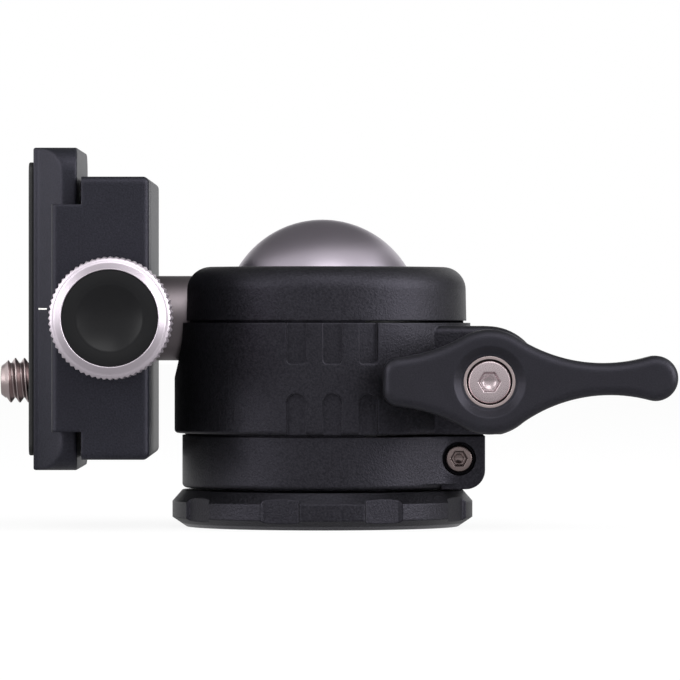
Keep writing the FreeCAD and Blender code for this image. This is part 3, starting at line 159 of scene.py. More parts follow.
class HeadStage(bpy.types.PropertyGroup):
    """Camera and light."""

    lens: FloatProperty(name="Lens", description="Focal length", default=328, min=1, unit="CAMERA")
    view_across: FloatProperty(name="View across", description="Camera's place along X", default=2.49 * MM,
                               unit="LENGTH")
    view_far: length("View distance", "Camera's distance from the middle plane", 880)
    view_up: length("View height", "Camera's height above the floor", 29.66)
    view_down: FloatProperty(name="View down", description="Camera's downward tilt", default=math.radians(0.212),
                             unit="ROTATION")
    fill: FloatProperty(name="Fill", description="Strength of the room's light", default=0.75, min=0)
    side_light: FloatProperty(name="Side light", description="Power of the right softbox", default=6.3, min=0,
                              unit="POWER")
    card: FloatProperty(name="Card", description="Brightness of the dark cards", default=0.25, min=0)


# Nodes


def add(tree, kind, inputs=None, **settings):
    """Add a node with its settings, and give its inputs a value or a link."""
    node = tree.nodes.new(kind)
    for key, value in settings.items():
        setattr(node, key, value)
    for key, value in (inputs or {}).items():
        if isinstance(value, bpy.types.NodeSocket):
            tree.links.new(value, node.inputs[key])
        else:
            node.inputs[key].default_value = value
    return node


def new_tree(name, inputs):
    """A geometry node tree with named inputs: name and socket type."""
    tree = bpy.data.node_groups.new(name, "GeometryNodeTree")
    tree.interface.new_socket("Geometry", in_out="INPUT", socket_type="NodeSocketGeometry")
    for label, kind in inputs:
        tree.interface.new_socket(label, in_out="INPUT", socket_type=kind)
    tree.interface.new_socket("Geometry", in_out="OUTPUT", socket_type="NodeSocketGeometry")
    return tree


def end_tree(tree, geometry, given):
    """Close a tree with Realize Instances and Set Material."""
    real = add(tree, "GeometryNodeRealizeInstances", {"Geometry": geometry})
    dressed = add(tree, "GeometryNodeSetMaterial", {"Geometry": real.outputs[0], "Material": given["Material"]})
    add(tree, "NodeGroupOutput", {"Geometry": dressed.outputs[0]})
    return tree


def knurl_tree():
    """Cut straight teeth round the Z axis wherever the mesh reaches past their bottom."""
    tree = new_tree("knurl", [("Teeth", "NodeSocketInt"), ("Depth", "NodeSocketFloat"),
                              ("Radius", "NodeSocketFloat"), ("Material", "NodeSocketMaterial")])
    given = add(tree, "NodeGroupInput").outputs
    place = add(tree, "ShaderNodeSeparateXYZ", {0: add(tree, "GeometryNodeInputPosition").outputs[0]}).outputs
    turn = add(tree, "ShaderNodeMath", {0: place["Y"], 1: place["X"]}, operation="ARCTAN2").outputs[0]
    share = add(tree, "ShaderNodeMath", {0: turn, 1: 2 * math.pi}, operation="DIVIDE").outputs[0]
    tooth = add(tree, "ShaderNodeMath", {0: share, 1: given["Teeth"]}, operation="MULTIPLY").outputs[0]
    wave = add(tree, "ShaderNodeMath", {0: tooth, 1: 0.5}, operation="PINGPONG").outputs[0]
    cut = add(tree, "ShaderNodeMath", {0: wave, 1: given["Depth"]}, operation="MULTIPLY").outputs[0]
    # The wave runs from 0 to a half, so two cuts make the full depth
    crest = add(tree, "ShaderNodeMath", {0: cut, 1: -2.0, 2: given["Radius"]}, operation="MULTIPLY_ADD").outputs[0]
    flat = add(tree, "ShaderNodeCombineXYZ", {"X": place["X"], "Y": place["Y"]}).outputs[0]
    reach = add(tree, "ShaderNodeVectorMath", {0: flat}, operation="LENGTH").outputs["Value"]
    kept = add(tree, "ShaderNodeMath", {0: reach, 1: crest}, operation="MINIMUM").outputs[0]
    away = add(tree, "ShaderNodeVectorMath", {0: flat}, operation="NORMALIZE").outputs[0]
    moved = add(tree, "ShaderNodeVectorMath", {0: away, "Scale": kept}, operation="SCALE").outputs[0]
    lift = add(tree, "ShaderNodeCombineXYZ", {"Z": place["Z"]}).outputs[0]
    target = add(tree, "ShaderNodeVectorMath", {0: moved, 1: lift}, operation="ADD").outputs[0]
    shaped = add(tree, "GeometryNodeSetPosition", {"Geometry": given["Geometry"], "Position": target})
    return end_tree(tree, shaped.outputs[0], given)


def thread_tree():
    """Cut a helical thread round the Z axis. Side is 1 on a screw and -1 in a bore."""
    tree = new_tree("thread", [("Pitch", "NodeSocketFloat"), ("Depth", "NodeSocketFloat"),
                               ("Radius", "NodeSocketFloat"), ("Start", "NodeSocketFloat"),
                               ("End", "NodeSocketFloat"), ("Side", "NodeSocketFloat"),
                               ("Material", "NodeSocketMaterial")])
    given = add(tree, "NodeGroupInput").outputs
    place = add(tree, "ShaderNodeSeparateXYZ", {0: add(tree, "GeometryNodeInputPosition").outputs[0]}).outputs
    turn = add(tree, "ShaderNodeMath", {0: place["Y"], 1: place["X"]}, operation="ARCTAN2").outputs[0]
    share = add(tree, "ShaderNodeMath", {0: turn, 1: 2 * math.pi}, operation="DIVIDE").outputs[0]
    rise = add(tree, "ShaderNodeMath", {0: place["Z"], 1: given["Pitch"]}, operation="DIVIDE").outputs[0]
    phase = add(tree, "ShaderNodeMath", {0: rise, 1: share}, operation="SUBTRACT").outputs[0]
    wave = add(tree, "ShaderNodeMath", {0: phase, 1: 0.5}, operation="PINGPONG").outputs[0]
    # Crest and root flats are an eighth of the pitch each
    flank = add(tree, "ShaderNodeMapRange", {"Value": wave, "From Min": 1 / 16, "From Max": 7 / 16,
                                             "To Min": 0.0, "To Max": 1.0}, clamp=True).outputs[0]
    # The thread fades in and out over half a pitch
    past_start = add(tree, "ShaderNodeMath", {0: place["Z"], 1: given["Start"]}, operation="SUBTRACT").outputs[0]
    before_end = add(tree, "ShaderNodeMath", {0: given["End"], 1: place["Z"]}, operation="SUBTRACT").outputs[0]
    nearest = add(tree, "ShaderNodeMath", {0: past_start, 1: before_end}, operation="MINIMUM").outputs[0]
    fade = add(tree, "ShaderNodeMath", {0: nearest, 1: given["Pitch"]}, operation="DIVIDE").outputs[0]
    fade = add(tree, "ShaderNodeMath", {0: fade, 1: 2.0}, operation="MULTIPLY", use_clamp=True).outputs[0]
    deep = add(tree, "ShaderNodeMath", {0: flank, 1: given["Depth"]}, operation="MULTIPLY").outputs[0]
    deep = add(tree, "ShaderNodeMath", {0: deep, 1: fade}, operation="MULTIPLY").outputs[0]
    edge = add(tree, "ShaderNodeMath", {0: given["Side"], 1: given["Radius"]}, operation="MULTIPLY").outputs[0]
    edge = add(tree, "ShaderNodeMath", {0: edge, 1: deep}, operation="SUBTRACT").outputs[0]
    flat = add(tree, "ShaderNodeCombineXYZ", {"X": place["X"], "Y": place["Y"]}).outputs[0]
    reach = add(tree, "ShaderNodeVectorMath", {0: flat}, operation="LENGTH").outputs["Value"]
    sided = add(tree, "ShaderNodeMath", {0: reach, 1: given["Side"]}, operation="MULTIPLY").outputs[0]
    least = add(tree, "ShaderNodeMath", {0: sided, 1: edge}, operation="MINIMUM").outputs[0]
    radius = add(tree, "ShaderNodeMath", {0: least, 1: given["Side"]}, operation="MULTIPLY").outputs[0]
    away = add(tree, "ShaderNodeVectorMath", {0: flat}, operation="NORMALIZE").outputs[0]
    moved = add(tree, "ShaderNodeVectorMath", {0: away, "Scale": radius}, operation="SCALE").outputs[0]
    lift = add(tree, "ShaderNodeCombineXYZ", {"Z": place["Z"]}).outputs[0]
    target = add(tree, "ShaderNodeVectorMath", {0: moved, 1: lift}, operation="ADD").outputs[0]
    inside = add(tree, "ShaderNodeMath", {0: nearest, 1: 0.0}, operation="GREATER_THAN").outputs[0]
    shaped = add(tree, "GeometryNodeSetPosition", {"Geometry": given["Geometry"], "Selection": inside,
                                                   "Position": target})
    return end_tree(tree, shaped.outputs[0], given)


# Meshes


def turned_mesh(name, rows, around=96):
    """Turn rows about Z. A row is (radius, height) or (radius, height, sides) for a polygon of that inradius."""
    points = []
    faces = []
    rings = []
    for row in rows:
        radius, height = row[:2]
        sides = row[2] if len(row) > 2 else 0
        start = len(points)
        if radius == 0:
            points.append((0, 0, height))
            rings.append([start])
            continue
        for step in range(around):
            angle = 2 * math.pi * step / around
            reach = radius
            if sides:
                part = 2 * math.pi / sides
                reach = radius / math.cos(angle % part - part / 2)
            points.append((reach * math.cos(angle), reach * math.sin(angle), height))
        rings.append(list(range(start, start + around)))
    for near, far in zip(rings, rings[1:]):
        for step in range(around):
            ahead = (step + 1) % around
            if len(near) == 1:
                faces.append((near[0], far[ahead], far[step]))
            elif len(far) == 1:
                faces.append((near[step], near[ahead], far[0]))
            else:
                faces.append((near[step], near[ahead], far[ahead], far[step]))
    mesh = bpy.data.meshes.new(name)
    mesh.from_pydata(points, [], faces)
    mesh.update()
    return mesh


def corner(radius, height, inward, upward, size, steps=5):
    """Rows of a quarter round at a turned corner; inward and upward are -1 or 1, towards the material."""
    rows = []
    for step in range(steps + 1):
        angle = math.pi / 2 * step / steps
        rows.append((radius + inward * size * (1 - math.cos(angle)),
                     height + upward * size * (1 - math.sin(angle))))
    return rows


def stretch(first, last, count):
    """Even rows from one (radius, height) to another, without the first."""
    made = []
    for step in range(1, count + 1):
        share = step / count
        made.append((first[0] + (last[0] - first[0]) * share, first[1] + (last[1] - first[1]) * share))
    return made


def softened(node, width):
    """A copy of a CAD node's mesh with its sharp edges rounded."""
    work = bmesh.new()
    work.from_mesh(frame["nodes"][node].data)
    bmesh.ops.remove_doubles(work, verts=work.verts, dist=WELD)
    # Flat faces join into one, so that their dividing lines don't hold the rounding back
    bmesh.ops.dissolve_limit(work, angle_limit=FLAT_BELOW, verts=work.verts, edges=work.edges)
    sharp = [edge for edge in work.edges if edge.is_manifold and edge.calc_face_angle() > SHARP_ABOVE]
    bmesh.ops.bevel(work, geom=sharp, offset=width, segments=3, profile=0.5, affect="EDGES", clamp_overlap=True)
    mesh = bpy.data.meshes.new(node + "_soft")
    work.to_mesh(mesh)
    work.free()
    return mesh


# Turns that bring +Z to the direction that a piece faces
ALONG = {
    "-Y": Matrix.Rotation(math.pi / 2, 4, "X"),
    "-X": Matrix.Rotation(-math.pi / 2, 4, "Y"),
}


def new_piece(name, mesh, body, material, replaced=(), smooth_below=30):
    """A finished piece from a mesh whose place is in its points."""
    piece = bpy.data.objects.new(name, mesh)
    bpy.context.scene.collection.objects.link(piece)
    if not mesh.materials:
        mesh.materials.append(material)
    mesh.polygons.foreach_set("use_smooth", [True] * len(mesh.polygons))
    mesh.set_sharp_from_angle(angle=math.radians(smooth_below))
    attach(piece, body)
    if replaced:
        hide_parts(*replaced)
    return piece


def worked_mesh(mesh, tree, values):
    """Run a geometry node tree over a mesh and return the plain result."""
    blank = bpy.data.objects.new(mesh.name + "_blank", mesh)
    bpy.context.scene.collection.objects.link(blank)
    modifier = blank.modifiers.new("Shape", "NODES")
    modifier.node_group = tree
    for item in tree.interface.items_tree:
        if item.in_out == "INPUT" and item.name in values:
            modifier[item.identifier] = values[item.name]
    made = bpy.data.meshes.new_from_object(blank.evaluated_get(bpy.context.evaluated_depsgraph_get()))
    made.name = mesh.name
    blank.modifiers.clear()
    bpy.data.objects.remove(blank)
    return made


def put(mesh, direction, place):
    """Turn a mesh made about +Z to a direction, and move it to its place."""
    mesh.transform(Matrix.Translation(place) @ ALONG[direction])
    mesh.update()
    return mesh


# Finishes


def empty_material(name):
    """A material with no nodes, and its tree."""
    material = bpy.data.materials.new(name)
    material.use_nodes = True
    material.node_tree.nodes.clear()
    return material, material.node_tree


def new_finish(name, **values):
    """A material with a shader, plain values on the shader's own sockets, and its object coordinates."""
    material, tree = empty_material(name)
    shader = add(tree, "ShaderNodeBsdfPrincipled")
    add(tree, "ShaderNodeOutputMaterial", {"Surface": shader.outputs[0]})
    for key, value in values.items():
        shader.inputs[key.replace("_", " ")].default_value = value
    return material, tree, shader, add(tree, "ShaderNodeTexCoord").outputs["Object"]


def dress(tree, shader, tint, shade, roughness, normal):
    """Link a tint under a varying shade, a roughness and a normal to a finish's shader."""
    tinted = add(tree, "ShaderNodeVectorMath", {0: tuple(tint), "Scale": shade}, operation="SCALE").outputs[0]
    for socket, source in (("Base Color", tinted), ("Roughness", roughness), ("Normal", normal)):
        tree.links.new(source, shader.inputs[socket])


def grained(name, tint, grain_mm, depth_mm, rough, glint_paint, ior=1.37, soft_edge_mm=0.3):
    """A black anodised or painted skin with an even blasted grain: fine glints painted into its colour on a satin
    sheen.
    """
    # Black anodising reflects less than clear lacquer, with a slight violet cast
    material, tree, shader, where = new_finish(name, Metallic=0.0, IOR=ior, Specular_Tint=(0.83, 0.79, 1.0, 1.0))
    fine = add(tree, "ShaderNodeTexNoise", {"Vector": where, "Scale": 1 / (grain_mm * MM), "Detail": 3.0,
                                            "Roughness": 0.6}).outputs["Fac"]
    # The dye takes unevenly, in clouds 18 grains wide
    coarse = add(tree, "ShaderNodeTexNoise", {"Vector": where, "Scale": 1 / (grain_mm * 18 * MM),
                                              "Detail": 2.0}).outputs["Fac"]
    cloud = add(tree, "ShaderNodeMapRange", {"Value": coarse, "To Min": 0.85, "To Max": 1.15}).outputs[0]
    # Painted glints: the grain's high points are paler and its pits darker in the base colour, standing in for the
    # glints of light that the grain catches
    painted_glint = add(tree, "ShaderNodeMapRange", {"Value": fine, "From Min": 0.35, "From Max": 0.65,
                                             "To Min": 1 - glint_paint, "To Max": 1 + glint_paint}).outputs[0]
    shade = add(tree, "ShaderNodeMath", {0: cloud, 1: painted_glint}, operation="MULTIPLY").outputs[0]
    sheen = add(tree, "ShaderNodeMapRange", {"Value": fine, "To Min": rough - 0.06,
                                             "To Max": rough + 0.06}).outputs[0]
    edge = add(tree, "ShaderNodeBevel", {"Radius": soft_edge_mm * MM}, samples=8).outputs[0]
    bump = add(tree, "ShaderNodeBump", {"Height": fine, "Distance": depth_mm * MM, "Normal": edge}).outputs[0]
    dress(tree, shader, tint, shade, sheen, bump)
    return material


def turned(name, tint, rough, axis=None, centre=(0, 0, 0), ring_mm=0.1, ring_deep_mm=0.0, grain_mm=0.12,
           grain_deep_mm=0.002, soft_edge_mm=0.12):
    """A turned and satin-finished metal: a fine blasted grain and, where an axis is given, the tool's faint rings
    round it."""
    material, tree, shader, where = new_finish(name, Metallic=1.0)
    grain = add(tree, "ShaderNodeTexNoise", {"Vector": where, "Scale": 1 / (grain_mm * MM), "Detail": 2.0,
                                             "Roughness": 0.6}).outputs["Fac"]
    cloud = add(tree, "ShaderNodeTexNoise", {"Vector": where, "Scale": 1 / (3 * MM), "Detail": 2.0}).outputs["Fac"]
    shade = add(tree, "ShaderNodeMapRange", {"Value": cloud, "To Min": 0.96, "To Max": 1.04}).outputs[0]
    sheen = add(tree, "ShaderNodeMapRange", {"Value": grain, "To Min": rough - 0.05,
                                             "To Max": rough + 0.05}).outputs[0]
    edge = add(tree, "ShaderNodeBevel", {"Radius": soft_edge_mm * MM}, samples=8).outputs[0]
    bump = add(tree, "ShaderNodeBump", {"Height": grain, "Distance": grain_deep_mm * MM,
                                        "Normal": edge}).outputs[0]
    if axis:
        # With a scale of 1 / 6.5 to a ring's width, the wave repeats after two widths: a ridge and a groove
        moved = add(tree, "ShaderNodeMapping", {"Vector": where, "Location": [-part for part in centre]})
        rings = add(tree, "ShaderNodeTexWave", {"Vector": moved.outputs[0], "Scale": 1 / (ring_mm * MM * 6.5)},
                    wave_type="RINGS", rings_direction=axis).outputs["Fac"]
        bump = add(tree, "ShaderNodeBump", {"Height": rings, "Distance": ring_deep_mm * MM,
                                            "Normal": bump}).outputs[0]
    dress(tree, shader, tint, shade, sheen, bump)
    return material


def moulded(name, tint, rough, grain_mm, depth_mm, ior=1.49):
    """Moulded plastic or rubber: an even skin with a fine spark-eroded texture."""
    material, tree, shader, where = new_finish(name, Metallic=0.0, IOR=ior)
    grain = add(tree, "ShaderNodeTexNoise", {"Vector": where, "Scale": 1 / (grain_mm * MM),
                                             "Detail": 2.0}).outputs["Fac"]
    shade = add(tree, "ShaderNodeMapRange", {"Value": grain, "To Min": 0.9, "To Max": 1.1}).outputs[0]
    sheen = add(tree, "ShaderNodeMapRange", {"Value": grain, "To Min": rough - 0.04,
                                             "To Max": rough + 0.04}).outputs[0]
    bump = add(tree, "ShaderNodeBump", {"Height": grain, "Distance": depth_mm * MM}).outputs[0]
    dress(tree, shader, tint, shade, sheen, bump)
    return material


FINISHES = {}


def make_finishes(tints):
    """Every finish of the head, by name."""
    FINISHES.update({
        # Blasted aluminium under black anodising: soft wide highlights broken up by a visible grain, with strong
        # glints painted into its colour
        "anodised_black": grained("anodised_black", tints.housing, 0.3, 0.06, 0.42, 0.8, ior=1.39),
        # The lever is vibrated smoother before it is anodised, so its sheen is calmer and its painted glints
        # fainter
        "lever_black": grained("lever_black", tints.lever, 0.2, 0.014, 0.42, 0.3, soft_edge_mm=0.4),
        # The clamp is blasted finer than the housing, with fainter painted glints, and looks slightly blue
        "clamp_black": grained("clamp_black", tints.clamp, 0.25, 0.03, 0.44, 0.4, soft_edge_mm=0.6),
        # Turned ball, blasted and clear anodised: an even silk with no sharp reflection
        "ball_grey": turned("ball_grey", tints.ball, 0.33, "X", middle("ball"), ring_deep_mm=0.0004),
        # The stem is tinted darker than the ball as painted shade for its shadowed place between ball and clamp,
        # and it is duller, so its highlight spreads along it
        "stem_grey": turned("stem_grey", tints.stem, 0.42),
        # Clear anodised knob: nearly white metal, dull enough for its cut teeth to show
        "knob_silver": turned("knob_silver", tints.knob, 0.45, "Y", middle("knob_ring"), ring_deep_mm=0.0006),
        # Turned stainless steel: the smoothest metal on the head, with small clear highlights
        "stainless": turned("stainless", tints.steel, 0.26),
        # The lever's screw head keeps the fine rings that it was faced with
        "faced_steel": turned("faced_steel", tints.steel, 0.28, "Y", middle("lever_screw"), ring_mm=0.3,
                              ring_deep_mm=0.0012, grain_deep_mm=0.0008),
        # Rolled threads are duller and warmer than a turned head
        "thread_steel": turned("thread_steel", tints.thread_steel, 0.3),
        # The pan lock screw sits in its counterbore and is tinted darker than the other screws
        "dark_steel": turned("dark_steel", tints.dark_steel, 0.28),
        # Spring steel: its own dark grey, darkened further as painted shade for the seams and slits where it
        # shows, with almost no shine
        "spring_steel": turned("spring_steel", tints.spring, 0.4),
        # The cap is semi-gloss, with a shallow clear reflection in its dish
        "cap_black": moulded("cap_black", tints.cap, 0.32, 0.2, 0.001, 1.3),
        # Machined acetal: waxy and smooth
        "acetal": moulded("acetal", tints.acetal, 0.4, 0.2, 0.002),
        # Moulded rubber: dull, with a leathery skin
        "rubber": moulded("rubber", tints.rubber, 0.6, 0.25, 0.01, 1.52),
        # Filled enamel line: flat white
        "index_paint": moulded("index_paint", tints.paint, 0.45, 0.2, 0.001),
    })


# Operators


class HEAD_OT_finishes(bpy.types.Operator):
    """Make the finishes and give each CAD node its own."""

    bl_idname = "ball_head.finishes"
    bl_label = "Finishes"

    def execute(self, context):
        make_finishes(context.scene.head_colours)
        slots = {part["node"]: part["material_slot"] for part in frame["record"]["subparts"]}
        for node, item in frame["nodes"].items():
            finish = "thread_steel" if node == "lever_sleeve" else slots[node]
            item.data.materials.clear()
            item.data.materials.append(FINISHES[finish])
        return {"FINISHED"}


class HEAD_OT_knob(bpy.types.Operator):
    """Turn the knob's ring and cut its teeth, and turn the dished cap."""

    bl_idname = "ball_head.knob"
    bl_label = "Knob"

    def execute(self, context):
        sizes = context.scene.head_sizes
        low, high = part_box("knob_ring")
        cap_low, cap_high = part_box("knob_cap")
        screw_low, screw_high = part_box("clamp_screw")
        centre = middle("knob_ring")
        foot = Vector((centre.x, high[1], centre.z))
        cap_radius = (cap_high[0] - cap_low[0]) / 2
        face = high[1] - low[1]
        seat = high[1] - cap_high[1]
        ring = self.ring(sizes, (high[0] - low[0]) / 2, (screw_high[0] - screw_low[0]) / 2 + SEAT,
                         cap_radius + SEAT, face, seat)
        new_piece("knob_ring_turned", put(ring, "-Y", foot), "knob", FINISHES["knob_silver"],
                  ["knob_ring"], 40)
        cap = self.cap(sizes, cap_radius, seat + SEAT, high[1] - cap_low[1])
        new_piece("knob_cap_dished", put(cap, "-Y", foot), "knob", FINISHES["cap_black"],
                  ["knob_cap"], 40)
        return {"FINISHED"}

    def ring(self, sizes, radius, bore, cap_seat, face, seat):
        """The ring from its back face at height 0 to its front face."""
        rows = [(bore, seat), (bore, 0.0)]
        rim = face - sizes.knob_fall
        rows += corner(radius, 0, -1, 1, sizes.knob_round, 8)[::-1]
        rows += stretch((radius, sizes.knob_round), (radius, rim - sizes.knob_round), 6)
        rows += corner(radius, rim, -1, -1, sizes.knob_round, 8)[1:]
        rows += stretch(rows[-1], (cap_seat + sizes.edge_round, face), 6)
        rows += corner(cap_seat, face, 1, -1, sizes.edge_round, 3)[::-1]
        rows += [(cap_seat, seat), (bore, seat)]
        # Eight points to a tooth
        return worked_mesh(turned_mesh("knob_ring", rows, sizes.knurl_teeth * 8), knurl_tree(), {
            "Teeth": sizes.knurl_teeth, "Depth": sizes.knurl_depth, "Radius": radius,
            "Material": FINISHES["knob_silver"],
        })

    def cap(self, sizes, radius, back, front):
        """The cap with a ball-shaped dish in a flat rim."""
        rows = [(0, back)]
        rows += [(radius, back), (radius, front - sizes.edge_round)]
        rows += corner(radius, front, -1, -1, sizes.edge_round, 3)[1:]
        half = sizes.dish_wide / 2
        ball = (half ** 2 + sizes.dish_deep ** 2) / (2 * sizes.dish_deep)
        # The rim breaks over a narrow lip into the dish
        lip = sizes.edge_round
        rows += [(half + lip, front), (half + lip / 2, front - lip / 8)]
        steps = 16
        for step in range(steps + 1):
            reach = half * (1 - step / steps)
            rows.append((reach, front + ball - sizes.dish_deep - math.sqrt(ball ** 2 - reach ** 2)))
        return turned_mesh("knob_cap", rows, 128)


class HEAD_OT_threads(bpy.types.Operator):
    """Turn the camera screw and the tripod insert, and cut their threads."""

    bl_idname = "ball_head.threads"
    bl_label = "Threads"

    def execute(self, context):
        self.camera_screw(context.scene.head_sizes)
        self.tripod_insert(context.scene.head_sizes)
        return {"FINISHED"}

    def camera_screw(self, sizes):
        """The screw from its head in the plate to its nose, with a plain neck where it turns in the slot."""
        low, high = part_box("camera_screw")
        head_radius = (high[1] - low[1]) / 2
        long = high[0] - low[0]
        head_tall = sizes.camera_head
        radius = sizes.camera_radius
        neck = sizes.camera_neck
        root = radius - sizes.camera_depth
        nose = sizes.camera_nose
        small = sizes.edge_round
        # The thread starts just outside the pad
        start = high[0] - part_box("rubber_pad")[0][0] + small
        rows = [(0, 0)]
        rows += corner(head_radius, 0, -1, 1, small, 3)[::-1]
        rows += corner(head_radius, head_tall, -1, -1, small, 3)
        rows += [(neck, head_tall), (neck, start)]
        rows += [(radius - small, start), (radius, start + small)]
        # A chamfer takes the last thread down to its root, and the nose draws in from there
        chamfer = long - nose - sizes.camera_depth
        tip = root - nose * 0.6
        rows += stretch((radius, start + small), (radius, chamfer), 90)
        rows += stretch((radius, chamfer), (root, long - nose), 14)
        rows += [(tip, long - small), (tip - small, long), (0, long)]
        blank = turned_mesh("camera_screw", rows)
        screw = worked_mesh(blank, thread_tree(), {
            "Pitch": sizes.camera_pitch, "Depth": sizes.camera_depth, "Radius": radius,
            "Start": start - sizes.camera_pitch / 2, "End": long, "Side": 1.0,
            "Material": FINISHES["thread_steel"],
        })
        screw.transform(Matrix.Rotation(sizes.camera_turn, 4, "Z"))
        centre = middle("camera_screw")
        put(screw, "-X", Vector((high[0], centre.y, centre.z)))
        new_piece("camera_screw_threaded", screw, "camera_screw", FINISHES["thread_steel"],
                  ["camera_screw"], 50)

    def tripod_insert(self, sizes):
        """The insert from its flat top down to its coned mouth in the base."""
        low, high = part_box("thread_insert")
        outer = (high[0] - low[0]) / 2
        deep = high[2] - low[2]
        bore = sizes.tripod_bore
        mouth = sizes.tripod_mouth
        rows = [(outer, deep), (bore, deep)]
        rows += stretch((bore, deep), (bore, mouth), 110)
        rows += stretch((bore, mouth), (bore + mouth, 0), 4)
        rows += [(outer, 0), (outer, deep)]
        blank = turned_mesh("thread_insert", rows)
        insert = worked_mesh(blank, thread_tree(), {
            "Pitch": sizes.tripod_pitch, "Depth": sizes.tripod_depth, "Radius": bore,
            "Start": 0.0, "End": deep, "Side": -1.0, "Material": FINISHES["thread_steel"],
        })
        new_piece("thread_insert_threaded", insert, "base", FINISHES["thread_steel"],
                  ["thread_insert"], 50)


class HEAD_OT_sockets(bpy.types.Operator):
    """Turn the two socket screws, with hexagon sockets drilled to a cone."""

    bl_idname = "ball_head.sockets"
    bl_label = "Socket screws"

    # Shares of the head's height and of the socket's width
    socket_deep = 0.6
    socket_foot = 0.88
    drill_wide = 0.75
    drill_deep = 0.45

    def execute(self, context):
        sizes = context.scene.head_sizes
        self.screw("lever_screw", "lever", "faced_steel", sizes.lever_head, sizes.lever_shank, sizes.lever_flats,
                   sizes.edge_round)
        self.screw("pan_lock_screw", "pan_screw", "dark_steel", sizes.pan_head, sizes.pan_shank,
                   sizes.pan_flats, sizes.edge_round)
        return {"FINISHED"}

    def screw(self, node, body, finish, tall, shank, flats, small):
        """One socket screw from its shank's end to its head's face."""
        low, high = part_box(node)
        centre = middle(node)
        radius = (high[0] - low[0]) / 2
        long = high[1] - low[1]
        foot = long - tall * self.socket_deep
        rows = [(0, 0), (shank - small, 0), (shank, small), (shank, long - tall), (radius - small, long - tall)]
        rows += [(radius, long - tall + small)]
        rows += corner(radius, long, -1, -1, 3 * small, 6)
        # The socket's mouth is chamfered, and its walls draw in a little towards the drilled cone
        rows += [(flats + small, long, 6), (flats, long - small, 6), (flats * self.socket_foot, foot, 6)]
        rows += [(flats * self.drill_wide, foot), (0, foot - flats * self.drill_deep)]
        mesh = put(turned_mesh(node, rows, 72), "-Y", Vector((centre.x, high[1], centre.z)))
        new_piece(node + "_turned", mesh, body, FINISHES[finish], [node], 25)


class HEAD_OT_plate(bpy.types.Operator):
    """Round the edges of the quick-release plate and its pad."""

    bl_idname = "ball_head.plate"
    bl_label = "Plate"

    def execute(self, context):
        sizes = context.scene.head_sizes
        for node, width, slot in (
            ("quick_release_plate", sizes.plate_round, "clamp_black"),
            ("rubber_pad", sizes.pad_round, "rubber"),
        ):
            new_piece(node + "_soft", softened(node, width), "plate", FINISHES[slot], [node], 35)
        return {"FINISHED"}


class HEAD_OT_index_line(bpy.types.Operator):
    """Paint the short white line in the middle of the plate's front edge."""

    bl_idname = "ball_head.index_line"
    bl_label = "Index line"

    def execute(self, context):
        sizes = context.scene.head_sizes
        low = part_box("quick_release_plate")[0]
        centre = middle("quick_release_plate")
        # The line lies on the dovetail slope, which leans 45 degrees between the two straight strips
        start = Vector((low[0] + sizes.dovetail_land, low[1] + sizes.dovetail_slope, centre.z))
        along = Vector((1, -1, 0)).normalized()
        out = Vector((-1, -1, 0)).normalized()
        side = Vector((0, 0, sizes.index_wide / 2))
        end = start + along * sizes.index_long * math.sqrt(2)
        points = []
        for spot in (start, end):
            for across in (-side, side):
                points += [spot + across - out * FILM, spot + across + out * FILM]
        faces = [(0, 1, 3, 2), (4, 6, 7, 5), (0, 4, 5, 1), (2, 3, 7, 6), (1, 5, 7, 3), (0, 2, 6, 4)]
        mesh = bpy.data.meshes.new("index_line")
        mesh.from_pydata(points, [], faces)
        mesh.update()
        new_piece("index_line", mesh, "plate", FINISHES["index_paint"])
        return {"FINISHED"}


